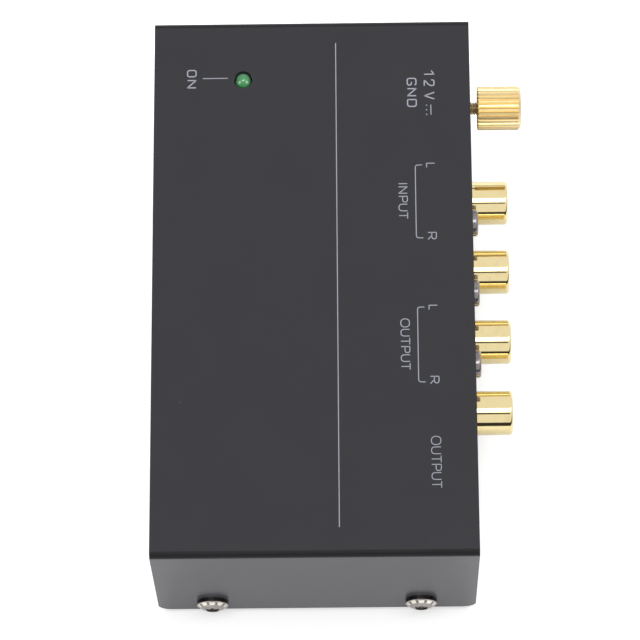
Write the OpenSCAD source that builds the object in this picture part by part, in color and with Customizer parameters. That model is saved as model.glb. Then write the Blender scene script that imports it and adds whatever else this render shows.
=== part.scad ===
// Small phono preamplifier in a folded sheet-metal case, taken apart into its real pieces.
// +X runs along the case, +Y points out of the rear panel and +Z is up. Z = 0 is the table.

/* [Case] */
// Length of the case, over the end flaps of the cover
case_l = 106; // [104:0.5:120]
// Depth of the case, over the cut edges of the cover
case_d = 59.6; // [59:0.2:70]
// Height of the case, from its underside to its top face
case_h = 33.5; // [32.5:0.5:40]
// Thickness of the folded sheet
sheet_t = 1; // [0.8:0.1:1.2]
// Inside radius of each fold
fold_r = 0.2; // [0.1:0.05:0.4]
// Radius of the lower corners of an end flap
flap_corner_r = 2.5; // [1:0.5:4]
// Gap between the cover and the base where one sheet lies in the other
sheet_gap = 0.1; // [0.05:0.05:0.2]
// Height of the turned-up flange at each end of the base
flange_h = 9.5; // [8.5:0.5:12]
// Width of that flange along Y
flange_w = 54; // [48:1:55]
// Width of the relief slot at each end of a flange's fold
relief_w = 0.8; // [0.5:0.1:1]
// Height of a rubber foot
foot_h = 2; // [1:0.5:4]
// Diameter of a rubber foot
foot_d = 8; // [6:0.5:10]
// Distance of a foot's centre from the end of the case
foot_from_end = 7; // [6:0.5:10]
// Distance of a foot's centre from the front or rear of the case
foot_from_side = 7; // [6:0.5:10]

/* [Cover screws] */
// Height of the end-flap screws above the underside of the case
cover_screw_h = 5; // [4.5:0.25:6]
// Distance of an end-flap screw from the middle of the flap
cover_screw_y = 19.5; // [12:0.5:22]
// Diameter of an end-flap screw's head
cover_head_d = 5.9; // [5:0.1:6.5]
// Height of that head
cover_head_h = 1.9; // [1.6:0.1:2.2]
// Height of the straight rim below the head's dome
cover_head_rim_h = 0.8; // [0.5:0.05:0.9]
// Length of the screw below its head
cover_screw_l = 5; // [3.5:0.25:5.5]
// Size across the six-lobe recess
cover_recess_d = 2.7; // [2.2:0.1:3]
// Depth of the recess
cover_recess_depth = 0.8; // [0.5:0.1:1]
// Diameter of every M3 screw's shank
m3_d = 3; // [2.8:0.1:3.2]

/* [Circuit board] */
// Gap between each end of the board and the end of the case
board_end_gap = 6; // [6:0.25:7]
// Depth of the board along Y
board_d = 52.5; // [51:0.5:54]
// Thickness of the board
board_t = 1.6; // [1.2:0.2:2]
// Radius of the board's corners
board_corner_r = 1.5; // [0.5:0.5:3]
// Gap between the board's rear edge and the rear panel
board_gap = 0.3; // [0.2:0.1:0.6]
// Height of a standoff between the floor and the board
standoff_h = 3; // [2.5:0.5:5]
// Diameter of a standoff's body
standoff_d = 5; // [4.5:0.25:6]
// Diameter of the neck pressed into the floor
standoff_neck_d = 4.2; // [3.8:0.1:4.4]
// Diameter of a board screw's head
board_head_d = 5.4; // [5:0.1:6]
// Height of that head
board_head_h = 1.9; // [1.5:0.1:2.2]
// Length of a board screw below its head
board_screw_l = 4; // [3:0.5:4.5]
// How far a lead shows below the board
lead_out = 1.2; // [0.8:0.1:1.6]
// Diameter of a round component lead
lead_d = 0.6; // [0.4:0.1:0.8]

/* [Phono sockets] */
// Distance from one socket's axis to the next
socket_pitch = 14.2; // [13.5:0.1:15]
// X of the middle of the row of four sockets
socket_row_x = -1.55; // [-3:0.05:0]
// Height of the sockets' axes above the board
socket_axis_h = 9.4; // [8.5:0.1:11]
// Outside diameter of a gold shell
shell_d = 8.3; // [8:0.1:8.4]
// Diameter of the shell's neck, where it goes through the rear panel
shell_neck_d = 7.9; // [7.8:0.05:7.9]
// Wall of the shell
shell_wall = 0.5; // [0.4:0.05:0.6]
// How far a shell stands out of the rear panel
shell_out = 7.25; // [6.5:0.25:9]
// Radius of the shell's rolled rim
shell_rim_r = 0.6; // [0.3:0.1:0.8]
// Diameter of the opening inside the rolled rim
shell_mouth_d = 6.4; // [5.8:0.1:6.8]
// Thickness of the rolled lip that holds the insert
shell_lip_t = 0.7; // [0.6:0.1:0.9]
// Diameter of the shell's flange inside the housing
shell_flange_d = 10.6; // [10:0.2:11.6]
// Thickness of that flange
shell_flange_t = 0.8; // [0.6:0.1:1]
// Diameter of the plug's centre pin, which the contact grips
phono_pin_d = 3.2; // [3.1:0.05:3.3]
// Wall of the centre contact
contact_wall = 0.45; // [0.35:0.05:0.55]
// Width of the four slots between the contact's fingers
contact_slot_w = 0.45; // [0.3:0.05:0.5]
// Depth of the contact's bore behind the rear panel's inner face
contact_depth = 6.6; // [6:0.2:7]
// How far the contact's mouth lies behind the insert's face
contact_inset = 1.6; // [1.2:0.1:2.4]
// Depth of the sockets' shared housing along Y
housing_d = 11; // [10.5:0.5:13]
// Thickness of the housing's front wall
housing_front_t = 2; // [1.6:0.2:2.6]
// Height of the housing above the sockets' axes
housing_top_h = 6.4; // [6:0.1:7]
// Height of the housing's fixing screws above the sockets' axes
socket_screw_rise = 7.5; // [7:0.25:8.5]
// Radius of the housing's rounded screw ears
ear_r = 3.4; // [2.8:0.1:4]
// Depth of a screw ear along Y
ear_d = 9; // [8.5:0.5:10]
// Diameter of a rear fixing screw's head
socket_head_d = 5.1; // [4.8:0.1:5.6]
// Height of that head
socket_head_h = 1.3; // [1:0.1:1.8]
// Length of a rear fixing screw below its head
socket_screw_l = 8; // [6:0.5:9]

/* [Output jack] */
// X of the jack for a 6.35 mm plug
out_x = 35.75; // [35.5:0.05:36.2]
// Height of the jack's axis above the board
out_axis_h = 8.5; // [8:0.1:9.5]
// Diameter of the plug that goes in
out_plug_d = 6.35; // [6.3:0.05:6.4]
// Width of the jack's housing
out_w = 16; // [15:0.5:16.4]
// Depth of the housing behind the rear panel
out_d = 31; // [30.5:0.5:33]
// Height of the housing above the jack's axis
out_top_h = 6.5; // [6:0.1:8]
// Wall of the housing
out_wall = 1.4; // [1:0.1:1.8]
// Diameter of the snout that fills the hole in the panel
out_snout_d = 10.8; // [10:0.2:12]
// How far the snout stands out of the rear panel
out_snout_out = 0.3; // [0:0.1:0.6]
// Thickness of the block around the sleeve contact
out_front_t = 5.5; // [5:0.25:6.5]
// Length of the sleeve contact
out_sleeve_l = 4; // [3:0.5:4.5]
// Wall of the sleeve contact
out_sleeve_wall = 0.6; // [0.4:0.1:0.8]
// Depth of the ring contact behind the plug's shoulder
out_ring_reach = 18.5; // [17.5:0.25:19.5]
// Depth of the tip contact behind the plug's shoulder
out_tip_reach = 26.5; // [26:0.25:27]
// How far a relaxed contact bulges into the plug's way
out_leaf_bite = 0.75; // [0.5:0.05:0.9]

/* [Power jack] */
// X of the power jack and of the ground screw above it
dc_x = -38; // [-38.5:0.1:-37.5]
// Height of the power jack's axis above the board
dc_axis_h = 6.5; // [6:0.1:7]
// Width of its housing
dc_w = 9; // [8.8:0.1:9.4]
// Length of its housing behind the rear panel
dc_d = 14.2; // [13.8:0.2:15]
// Length of the tall front block of that housing
dc_front_d = 3.4; // [3:0.2:4]
// Height of the housing above its axis
dc_top_h = 4.5; // [4.3:0.1:5]
// Diameter of the opening for the plug
dc_bore_d = 6.3; // [6:0.1:6.4]
// Depth of the opening behind the rear panel's inner face
dc_bore_depth = 10; // [9:0.5:10.5]
// Diameter of the centre pin
dc_pin_d = 2.1; // [1.9:0.1:2.5]
// Distance of the pin's tip behind the panel's outer face
dc_pin_inset = 1.6; // [1:0.2:2.5]
// Outside diameter of the plug's barrel
dc_plug_d = 5.5; // [5.4:0.1:5.6]
// Diameter of the snout that fills the hole in the panel
dc_snout_d = 7.8; // [7.6:0.1:8.6]

/* [Ground terminal] */
// Depth of the ground screw's axis below the top of the case
ground_drop = 7.9; // [7.5:0.1:9]
// Diameter of the knurled head
knob_d = 8.3; // [7:0.1:9]
// Length of the knurled head
knob_l = 8.2; // [6:0.2:10]
// Chamfer round the head's outer rim
knob_chamfer = 0.5; // [0.2:0.1:0.8]
// Number of knurl grooves
knurl_n = 32; // [20:1:36]
// Depth of a knurl groove
knurl_depth = 0.3; // [0.15:0.05:0.4]
// Width of a knurl groove at the surface
knurl_w = 0.5; // [0.3:0.05:0.6]
// Gap between the head and the rear panel, as the screw stands
ground_gap = 1.55; // [1:0.05:2.5]
// Diameter of the screw's shank
ground_d = 2.5; // [2.5:0.1:3]
// Length of the shank between the head and its end
ground_shank_l = 8.4; // [7.6:0.2:9]
// How far the shank goes into the head
ground_grip_l = 4; // [3:0.5:5]
// Size across the flats of the inner nut
nut_af = 5; // [5:0.1:5.5]
// Thickness of the inner nut
nut_t = 2; // [1.6:0.2:2.4]
// Thickness of the lock washer
washer_t = 0.45; // [0.3:0.05:0.6]
// Diameter of the lock washer
washer_d = 5.5; // [5:0.1:6.5]
// Thickness of the solder lug
lug_t = 0.5; // [0.4:0.1:0.8]
// Diameter of the lug's ring
lug_d = 6.4; // [5.8:0.2:7]
// Outside diameter of the ground lead
wire_d = 1.3; // [1:0.1:1.6]
// Radius of the ground lead's bend
wire_bend_r = 1.4; // [1.3:0.1:1.6]

/* [Light] */
// X of the power light
led_x = -41; // [-42:0.1:-40]
// Y of the power light
led_y = -13; // [-14:0.1:-12]
// Diameter of the light's lens
led_d = 3; // [2.8:0.1:3.2]
// Diameter of the lens's base flange
led_flange_d = 3.8; // [3.6:0.1:4.2]
// Height of the light from its base to the top of its dome
led_h = 5.3; // [5:0.1:6]
// How far the dome stands out of the cover
led_proud = 0.7; // [0.2:0.1:1.4]
// Diameter of the hole in the cover
led_hole_d = 3.5; // [3.3:0.1:3.8]
// Diameter of the spacer under the light
spacer_d = 5; // [4.5:0.1:5.4]
// Distance between the light's two leads
led_lead_pitch = 2.54; // [2.2:0.02:2.8]
// Width of a square lead
led_lead_w = 0.5; // [0.4:0.05:0.55]

/* [Components] */
// Length of an amplifier chip's body
chip_l = 9.4; // [9:0.1:10]
// Width of that body
chip_w = 6.4; // [6:0.1:6.6]
// Height of that body
chip_h = 3.3; // [3:0.1:3.6]
// Height of that body's underside above the board
chip_stand = 0.6; // [0.4:0.1:1]
// Distance between one chip leg and the next
chip_pitch = 2.54; // [2.5:0.01:2.58]
// Distance between the two rows of chip legs
chip_row = 7.62; // [7.6:0.02:8]
// Diameter of a small electrolytic capacitor
can_d = 6.3; // [5:0.1:6.8]
// Height of a small electrolytic capacitor
can_h = 11; // [9:0.5:13]
// Diameter of the supply's electrolytic capacitor
supply_can_d = 8; // [7:0.5:8]
// Height of the supply's electrolytic capacitor
supply_can_h = 12; // [10:0.5:15]
// Distance between a capacitor's leads
can_lead_pitch = 2.5; // [2:0.1:3]
// Length of a film capacitor
film_l = 7.2; // [6.8:0.1:8]
// Thickness of a film capacitor
film_w = 3; // [2.5:0.1:3.5]
// Height of a film capacitor
film_h = 6.5; // [5:0.5:8]
// Distance between a film capacitor's leads
film_lead_pitch = 5; // [4.5:0.1:5.4]
// Diameter of a resistor's end caps
resistor_d = 2.4; // [2:0.1:2.6]
// Length of a resistor's body
resistor_l = 6.3; // [5.6:0.1:6.8]
// Distance between a resistor's or the diode's leads
axial_pitch = 10.16; // [9.8:0.02:10.6]
// Diameter of the diode
diode_d = 2.7; // [2.4:0.1:2.8]
// Length of the diode's body
diode_l = 5.2; // [4.8:0.1:5.6]
// Diameter of the voltage regulator's body
regulator_d = 4.8; // [4.6:0.1:5]
// Height of the voltage regulator's body
regulator_h = 4.8; // [4.4:0.1:5.4]

/* [Hidden] */
$fn = 96;

// How far a cut runs past the face that it opens
over = 1;

// Clearances between pieces
thread_fit = 0.03;   // round a shank in its threaded hole
press_fit = 0.02;    // round a piece pressed or moulded into another
slip_fit = 0.05;     // round a piece that is slid in
loose_fit = 0.15;    // round a tab in its slot or a snout in its hole
hole_fit = 0.2;      // round a shank in a clearance hole
shell_hole_fit = 0.35;
eps = 0.01;

// Faces and levels
end_x = case_l / 2;
panel_y = case_d / 2;
panel_in_y = panel_y - sheet_t;
top_z = foot_h + case_h;
floor_z = foot_h + sheet_t;
board_z = floor_z + standoff_h;
board_top = board_z + board_t;
board_l = case_l - 2 * board_end_gap;
board_rear_y = panel_in_y - board_gap;
lead_end_z = board_z - lead_out;
base_half_l = end_x - sheet_t - sheet_gap;

// The socket row
SOCKETS = [0, 1, 2, 3];
socket_z = board_top + socket_axis_h;
socket_screw_z = socket_z + socket_screw_rise;
shell_r = shell_d / 2;
shell_in_r = shell_r - shell_wall;
shell_end = sheet_t + shell_out;
flange_back = -housing_front_t - shell_flange_t;
insert_face = shell_end - shell_lip_t;
insert_flange_t = 2.5;
insert_tail_l = 3;
insert_back = flange_back - insert_flange_t - insert_tail_l;
guide_room = 0.25;
lead_in = 0.8;
contact_in_r = phono_pin_d / 2 + press_fit;
contact_r = contact_in_r + contact_wall;
contact_back_t = 0.8;
contact_stem_r = 1;
finger_room = 0.25;
tail_w = 1.2;
tail_t = 0.5;
contact_tail_back = -contact_depth - contact_back_t - 2;
housing_l = 4 * socket_pitch - 0.4;
peg_d = 1.6;
peg_l = 1.4;
peg_y = -7.5;
screw_recess_depth = 0.75;

// The output jack
out_z = board_top + out_axis_h;
out_face = sheet_t + out_snout_out;
out_bore_r = out_plug_d / 2 + slip_fit;
out_cavity_half_w = out_w / 2 - out_wall;
out_cavity_floor = -4.4;
leaf_t = 0.35;
leaf_h = 3;
leaf_root_x = 5.1;
leaf_root_y = -8.6;
leaf_flare = 0.9;
leaf_tail = 1.6;
tag_t = 0.4;
tag_w = 1.6;
tag_from_root = (tag_w + leaf_t) / 2 + 0.3;

// The power jack
dc_z = board_top + dc_axis_h;
dc_leaf_t = 0.3;
dc_leaf_h = 2.2;
dc_leaf_root_x = 3.45;
dc_leaf_root_y = 1.6 - dc_d;
dc_leaf_reach = 6;
dc_leaf_bite = 0.35;
dc_leaf_flare = 0.4;
dc_leaf_tail = 1;
dc_tag_w = 0.8;
dc_tag_from_root = (dc_tag_w + dc_leaf_t) / 2 + 0.3;
dc_slot_half_h = 1.4;

// The ground terminal
ground_z = top_z - ground_drop;
knob_inner_y = panel_y + ground_gap;
washer_back = panel_in_y - washer_t;
lug_back = washer_back - lug_t;
nut_back = lug_back - nut_t;
lug_barrel_r = wire_d / 2 + 0.3;
lug_barrel_l = 1.6;
lug_barrel_x = dc_x - nut_af / 2 - 1;
wire_y = lug_back - lug_barrel_r;
wire_drop_x = lug_barrel_x - lug_barrel_l - wire_bend_r;

// The light
led_base_z = top_z + led_proud - led_h;
led_flange_h = 1;

// Where things stand on the board: X, and the distance in front of the board's rear edge
front_post_x = board_l / 2 - 9;
rear_post_x = board_l / 2 - 5;
STANDOFFS = [[-front_post_x, 48.5], [front_post_x, 48.5], [-rear_post_x, 26.5], [21, 20.5]];
CHIPS = [[-12, 32.5], [8, 32.5]];
CANS = [[-24, 16.5], [-16, 16.5], [-8, 16.5], [0, 16.5], [8, 16.5], [32, 41], [41, 41]];
FILMS = [[-24, 24.5], [-14, 24.5], [-4, 24.5], [6, 24.5], [-25, 49], [-13, 49], [-1, 49], [11, 49]];
RESISTORS = [for (y = [40.2, 44], x = [-26, -14, -2, 10, 22]) [x, y]];
SUPPLY_CAN = [-33, 20.5];
REGULATOR = [-26, 33];
DIODE = [-35, 31];
chip_leg_t = 0.3;
chip_leg_w = 0.5;
axial_bend_r = 0.9;
regulator_lead_pitch = 1.27;

function socket_x(i) = socket_row_x + (i - 1.5) * socket_pitch;
function board_y(p) = board_rear_y - p[1];

// ---------- helpers ----------

// Turns a shape so that its own Z axis points out of the rear panel
module facing_rear() {
    rotate([-90, 0, 0]) children();
}

// Moves a shape to the axis of one phono socket, at the inner face of the rear panel
module at_socket(i) {
    translate([socket_x(i), panel_in_y, socket_z]) children();
}

// Moves a shape to its place on top of the board
module on_board(p) {
    translate([p[0], board_y(p), board_top]) children();
}

// A box given by its lowest and highest corners
module block(low, high) {
    translate(low) cube(high - low);
}

// A rectangle that stands on the X axis, with its two top corners rounded
module arch(w, h, r) {
    translate([-w / 2, 0]) square([w, h - r]);
    translate([r - w / 2, 0]) square([w - 2 * r, h]);
    for (side = [-1, 1])
        translate([side * (w / 2 - r), h - r]) circle(r);
}

// A folded strip seen end on: a web on top and a leg at each side
module folded_strip(w, h, t, inner_r) {
    difference() {
        arch(w, h, inner_r + t);
        translate([0, -eps]) arch(w - 2 * t, h - t + eps, inner_r);
    }
}

// A rectangle with four rounded corners
module rounded_plate(w, d, r) {
    for (sx = [-1, 1], sy = [-1, 1])
        translate([sx * (w / 2 - r), sy * (d / 2 - r)]) circle(r);
    square([w - 2 * r, d], center = true);
    square([w, d - 2 * r], center = true);
}

// A ring with its axis along Z
module ring(outer_r, inner_r, h) {
    difference() {
        cylinder(r = outer_r, h = h);
        translate([0, 0, -eps]) cylinder(r = inner_r, h = h + 2 * eps);
    }
}

// A low domed screw head that stands on Z = 0
module domed_head(d, h, rim_h) {
    rise = h - rim_h;
    dome_r = (pow(d / 2, 2) + pow(rise, 2)) / (2 * rise);
    intersection() {
        cylinder(d = d, h = h);
        translate([0, 0, h - dome_r]) sphere(dome_r, $fn = 128);
    }
}

// A pan head: a cylinder with a rounded top edge
module pan_head(d, h, edge_r) {
    rotate_extrude() {
        square([d / 2, h - edge_r]);
        square([d / 2 - edge_r, h]);
        translate([d / 2 - edge_r, h - edge_r]) circle(edge_r);
    }
}

// A six-lobe recess, sunk from Z = 0 downwards
module six_lobe_recess(d, depth) {
    lobe_r = d * 0.13;
    translate([0, 0, -depth]) linear_extrude(depth + 1) {
        circle(d * 0.38);
        for (a = [0:60:300])
            rotate(a) translate([d / 2 - lobe_r, 0]) circle(lobe_r);
    }
}

// A cross recess, sunk from Z = 0 downwards
module cross_recess(d, depth) {
    arm_w = d * 0.22;
    translate([0, 0, -depth]) {
        translate([-d / 2, -arm_w / 2, 0]) cube([d, arm_w, depth + 1]);
        translate([-arm_w / 2, -d / 2, 0]) cube([arm_w, d, depth + 1]);
        cylinder(d = d * 0.42, h = depth + 1);
    }
}

// ---------- case ----------

// The cover: a top plate and two end flaps, folded from one sheet
module top_cover() {
    color([0.26, 0.26, 0.275])
    difference() {
        intersection() {
            translate([0, 0, foot_h]) rotate([90, 0, 0])
                linear_extrude(case_d, center = true)
                    folded_strip(case_l, case_h, sheet_t, fold_r);
            translate([-end_x - 1, 0, top_z]) rotate([0, 90, 0]) rotate([0, 0, -90])
                linear_extrude(case_l + 2 * over) arch(case_d, case_h, flap_corner_r);
        }
        translate([led_x, led_y, top_z - sheet_t - 1]) cylinder(d = led_hole_d, h = sheet_t + 2 * over);
        for (side = [-1, 1], y = [-cover_screw_y, cover_screw_y])
            translate([side * end_x, y, foot_h + cover_screw_h]) rotate([0, 90, 0])
                cylinder(d = m3_d + 2 * hole_fit, h = 4 * sheet_t, center = true);
    }
}

// The base's folded sheet before its holes: floor, front and rear panels, and low end flanges
module folded_base() {
    leg_h = case_h - sheet_t - sheet_gap;
    relief_l = sheet_t + fold_r + 0.6;
    translate([0, 0, foot_h]) {
        difference() {
            translate([0, 0, leg_h]) rotate([0, 90, 0]) rotate([0, 0, -90])
                linear_extrude(2 * base_half_l, center = true)
                    folded_strip(case_d, leg_h, sheet_t, fold_r);
            cube([3 * base_half_l, flange_w - 1, 2 * sheet_t + 1], center = true);
            for (side = [-1, 1], end = [-1, 1])
                translate([end * base_half_l, side * (flange_w + relief_w - eps) / 2, 0])
                    cube([2 * relief_l, relief_w + eps, 2 * (sheet_t + fold_r)], center = true);
        }
        translate([0, 0, flange_h]) rotate([-90, 0, 0])
            linear_extrude(flange_w, center = true)
                folded_strip(2 * base_half_l, flange_h, sheet_t, fold_r);
    }
}

// The base with the holes of its floor, flanges and rear panel
module base_chassis() {
    color([0.2, 0.2, 0.21])
    difference() {
        folded_base();
        for (side = [-1, 1], y = [-cover_screw_y, cover_screw_y])
            translate([side * base_half_l, y, foot_h + cover_screw_h]) rotate([0, 90, 0])
                cylinder(d = m3_d + 2 * thread_fit, h = 4 * sheet_t, center = true);
        for (p = STANDOFFS)
            translate([p[0], board_y(p), foot_h - 1])
                cylinder(d = standoff_neck_d + 2 * press_fit, h = sheet_t + 2 * over);
        for (i = SOCKETS)
            at_socket(i) facing_rear() panel_hole(shell_r + shell_hole_fit);
        for (i = [0:2])
            at_socket(i + 0.5) translate([0, 0, socket_screw_rise])
                facing_rear() panel_hole(m3_d / 2 + hole_fit);
        translate([out_x, panel_in_y, out_z]) facing_rear() panel_hole(out_snout_d / 2 + loose_fit);
        translate([dc_x, panel_in_y, dc_z]) facing_rear() panel_hole(dc_snout_d / 2 + loose_fit);
        translate([dc_x, panel_in_y, ground_z]) facing_rear() panel_hole(ground_d / 2 + loose_fit);
    }
}

// The cutter for one round hole in the rear panel
module panel_hole(r) {
    translate([0, 0, -over]) cylinder(r = r, h = sheet_t + 2 * over);
}

// Four stick-on feet with rounded lower edges
module rubber_feet() {
    edge_r = 0.6;
    color([0.09, 0.09, 0.09])
    for (sx = [-1, 1], sy = [-1, 1])
        translate([sx * (end_x - foot_from_end), sy * (panel_y - foot_from_side), foot_h])
            mirror([0, 0, 1]) pan_head(foot_d, foot_h, edge_r);
}

// Four domed screws through the end flaps into the base's flanges
module cover_screws() {
    color([0.75, 0.74, 0.71])
    for (side = [-1, 1], y = [-cover_screw_y, cover_screw_y])
        translate([side * end_x, y, foot_h + cover_screw_h]) rotate([0, side * 90, 0])
            difference() {
                union() {
                    domed_head(cover_head_d, cover_head_h, cover_head_rim_h);
                    translate([0, 0, -cover_screw_l]) cylinder(d = m3_d, h = cover_screw_l + 0.1);
                }
                translate([0, 0, cover_head_h])
                    six_lobe_recess(cover_recess_d, cover_recess_depth);
            }
}

// ---------- circuit board ----------

// The board, drilled for its screws, the sockets' pegs and every lead
module circuit_board() {
    color([0.1, 0.36, 0.18])
    translate([0, 0, board_z]) difference() {
        translate([0, board_rear_y - board_d / 2, 0])
            linear_extrude(board_t) rounded_plate(board_l, board_d, board_corner_r);
        translate([0, 0, -over]) linear_extrude(board_t + 2 * over) board_holes();
    }
}

// All holes of the board, seen from above
module board_holes() {
    lead_hole_d = lead_d + 0.2;
    for (p = STANDOFFS)
        translate([p[0], board_y(p)]) circle(d = m3_d + 2 * hole_fit);
    for (i = SOCKETS) translate([socket_x(i), panel_in_y]) {
        tail_hole(-housing_front_t - shell_flange_t / 2, shell_flange_t);
        tail_hole(contact_tail_back + tail_t / 2, tail_t);
    }
    for (i = [0, 2])
        translate([socket_x(i + 0.5), panel_in_y + peg_y]) circle(d = peg_d + 2 * slip_fit);
    translate([out_x, panel_in_y]) {
        for (side = [-1, 1])
            translate([side * leaf_root_x, leaf_root_y + tag_from_root])
                square([tag_t + 2 * loose_fit, tag_w + 2 * loose_fit], center = true);
        translate([0, -out_sleeve_l + tag_t])
            square([tag_w + 2 * loose_fit, tag_t + 2 * loose_fit], center = true);
    }
    translate([dc_x, panel_in_y]) {
        translate([0, -dc_d - tag_t / 2])
            square([tag_w + 2 * loose_fit, tag_t + 2 * loose_fit], center = true);
        translate([-dc_leaf_root_x, dc_leaf_root_y - dc_tag_from_root])
            square([tag_t + 2 * loose_fit, dc_tag_w + 2 * loose_fit], center = true);
    }
    translate([wire_drop_x, wire_y]) circle(d = wire_d + 0.2);
    for (side = [-1, 1])
        translate([led_x + side * led_lead_pitch / 2, led_y]) circle(d = led_lead_w * 1.8);
    for (p = CHIPS, side = [-1, 1], k = [-1.5:1:1.5])
        translate([p[0] + k * chip_pitch, board_y(p) + side * chip_row / 2]) circle(d = lead_hole_d);
    for (p = concat(CANS, [SUPPLY_CAN]), side = [-1, 1])
        translate([p[0] + side * can_lead_pitch / 2, board_y(p)]) circle(d = lead_hole_d);
    for (p = FILMS, side = [-1, 1])
        translate([p[0] + side * film_lead_pitch / 2, board_y(p)]) circle(d = lead_hole_d);
    for (p = concat(RESISTORS, [DIODE]), side = [-1, 1])
        translate([p[0] + side * axial_pitch / 2, board_y(p)]) circle(d = lead_hole_d);
    for (k = [-1:1])
        translate([REGULATOR[0] + k * regulator_lead_pitch, board_y(REGULATOR)])
            circle(d = lead_hole_d);
}

// The hole for one socket tail, at a distance behind the panel
module tail_hole(y, t) {
    translate([0, y]) square([tail_w + 2 * loose_fit, t + 2 * loose_fit], center = true);
}

// Four round standoffs, pressed into the floor and bored for the board screws
module board_standoffs() {
    color([0.78, 0.77, 0.74])
    for (p = STANDOFFS)
        translate([p[0], board_y(p), floor_z]) difference() {
            union() {
                cylinder(d = standoff_d, h = standoff_h);
                translate([0, 0, -sheet_t]) cylinder(d = standoff_neck_d, h = sheet_t + 0.1);
            }
            translate([0, 0, board_t + standoff_h - board_screw_l - 0.3])
                cylinder(d = m3_d + 2 * thread_fit, h = standoff_h + board_screw_l);
        }
}

// Four pan-head screws that hold the board
module board_screws() {
    color([0.75, 0.74, 0.71])
    for (p = STANDOFFS)
        on_board(p) difference() {
            union() {
                pan_head(board_head_d, board_head_h, 0.6);
                translate([0, 0, -board_screw_l]) cylinder(d = m3_d, h = board_screw_l + 0.1);
            }
            translate([0, 0, board_head_h]) cross_recess(3, 1.1);
        }
}

// ---------- phono sockets ----------

// The four sockets' shared housing: bored from behind, slotted for the tails, with screw ears
module socket_housing() {
    below = socket_z - board_top;
    pocket_w = socket_pitch - shell_flange_d - 1.6;
    color([0.07, 0.07, 0.075])
    translate([socket_row_x, panel_in_y, socket_z]) difference() {
        union() {
            block([-housing_l / 2, -housing_d, -below], [housing_l / 2, 0, housing_top_h]);
            for (k = [-1:1]) {
                translate([k * socket_pitch, 0, 0])
                    block([-ear_r, -ear_d, 0], [ear_r, 0, socket_screw_rise]);
                translate([k * socket_pitch, -ear_d, socket_screw_rise])
                    facing_rear() cylinder(r = ear_r, h = ear_d);
            }
            for (k = [-1, 1])
                translate([k * socket_pitch, peg_y, -below - peg_l]) cylinder(d = peg_d, h = peg_l + 1);
        }
        for (k = [-1.5:1:1.5]) translate([k * socket_pitch, 0, 0]) {
            translate([0, -housing_front_t - 1, 0]) facing_rear()
                cylinder(r = shell_neck_d / 2 + slip_fit, h = housing_front_t + 2 * over);
            translate([0, -housing_d - 1, 0]) facing_rear()
                cylinder(d = shell_flange_d + 2 * slip_fit, h = housing_d + 1 - housing_front_t);
            block([-tail_w / 2 - loose_fit, flange_back - loose_fit, -below - 1],
                [tail_w / 2 + loose_fit, -housing_front_t, 0]);
            block([-tail_w / 2 - loose_fit, -housing_d - 1, -below - 1],
                [tail_w / 2 + loose_fit, contact_tail_back + tail_t + loose_fit, 0]);
        }
        for (k = [-1:1]) translate([k * socket_pitch, 0, 0]) {
            translate([0, -socket_screw_l - 0.3, socket_screw_rise]) facing_rear()
                cylinder(d = m3_d + 2 * thread_fit, h = socket_screw_l + 1);
            block([-pocket_w / 2, -housing_d - 1, 1.4 - below],
                [pocket_w / 2, -housing_front_t, socket_screw_rise - ear_r - 1.2]);
        }
    }
}

// One gold shell: a sleeve with a rolled rim, a flange and a tail for the board
module socket_shell(i) {
    sleeve_l = shell_end - flange_back;
    neck_l = sheet_t + slip_fit - flange_back;
    color([0.93, 0.76, 0.36])
    at_socket(i) {
        translate([0, flange_back, 0]) facing_rear() difference() {
            rotate_extrude() {
                square([shell_neck_d / 2, neck_l + 1]);
                translate([0, neck_l]) square([shell_r, sleeve_l - shell_rim_r - neck_l]);
                square([shell_r - shell_rim_r, sleeve_l]);
                translate([shell_r - shell_rim_r, sleeve_l - shell_rim_r]) circle(shell_rim_r);
                square([shell_flange_d / 2, shell_flange_t]);
            }
            translate([0, 0, -over]) cylinder(r = shell_in_r, h = sleeve_l + 1 - shell_lip_t);
            cylinder(d = shell_mouth_d, h = sleeve_l + 1);
        }
        block([-tail_w / 2, flange_back, lead_end_z - socket_z],
            [tail_w / 2, flange_back + shell_flange_t, 0.4 - shell_flange_d / 2]);
    }
}

// One moulded insert: it fills the shell and carries the centre contact
module socket_insert(i, shade) {
    lip_r = shell_mouth_d / 2 - slip_fit;
    color(shade)
    at_socket(i) facing_rear() difference() {
        union() {
            translate([0, 0, flange_back])
                cylinder(r = shell_in_r - slip_fit, h = insert_face - flange_back);
            translate([0, 0, insert_face - 0.5]) cylinder(r = lip_r, h = 0.5 + shell_lip_t - 0.4);
            translate([0, 0, flange_back - insert_flange_t])
                cylinder(d = shell_flange_d, h = insert_flange_t);
            translate([0, 0, insert_back]) cylinder(r = shell_in_r, h = insert_tail_l + over);
        }
        translate([0, 0, insert_back - over])
            cylinder(r = contact_r + press_fit, h = -insert_back);
        translate([0, 0, -2])
            cylinder(r = contact_r + finger_room, h = insert_face - contact_inset + 2.3);
        cylinder(r = contact_in_r + guide_room, h = shell_end);
        translate([0, 0, shell_end - lead_in - 0.2])
            cylinder(r1 = contact_in_r + guide_room, r2 = contact_in_r + guide_room + lead_in, h = lead_in);
    }
}

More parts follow.
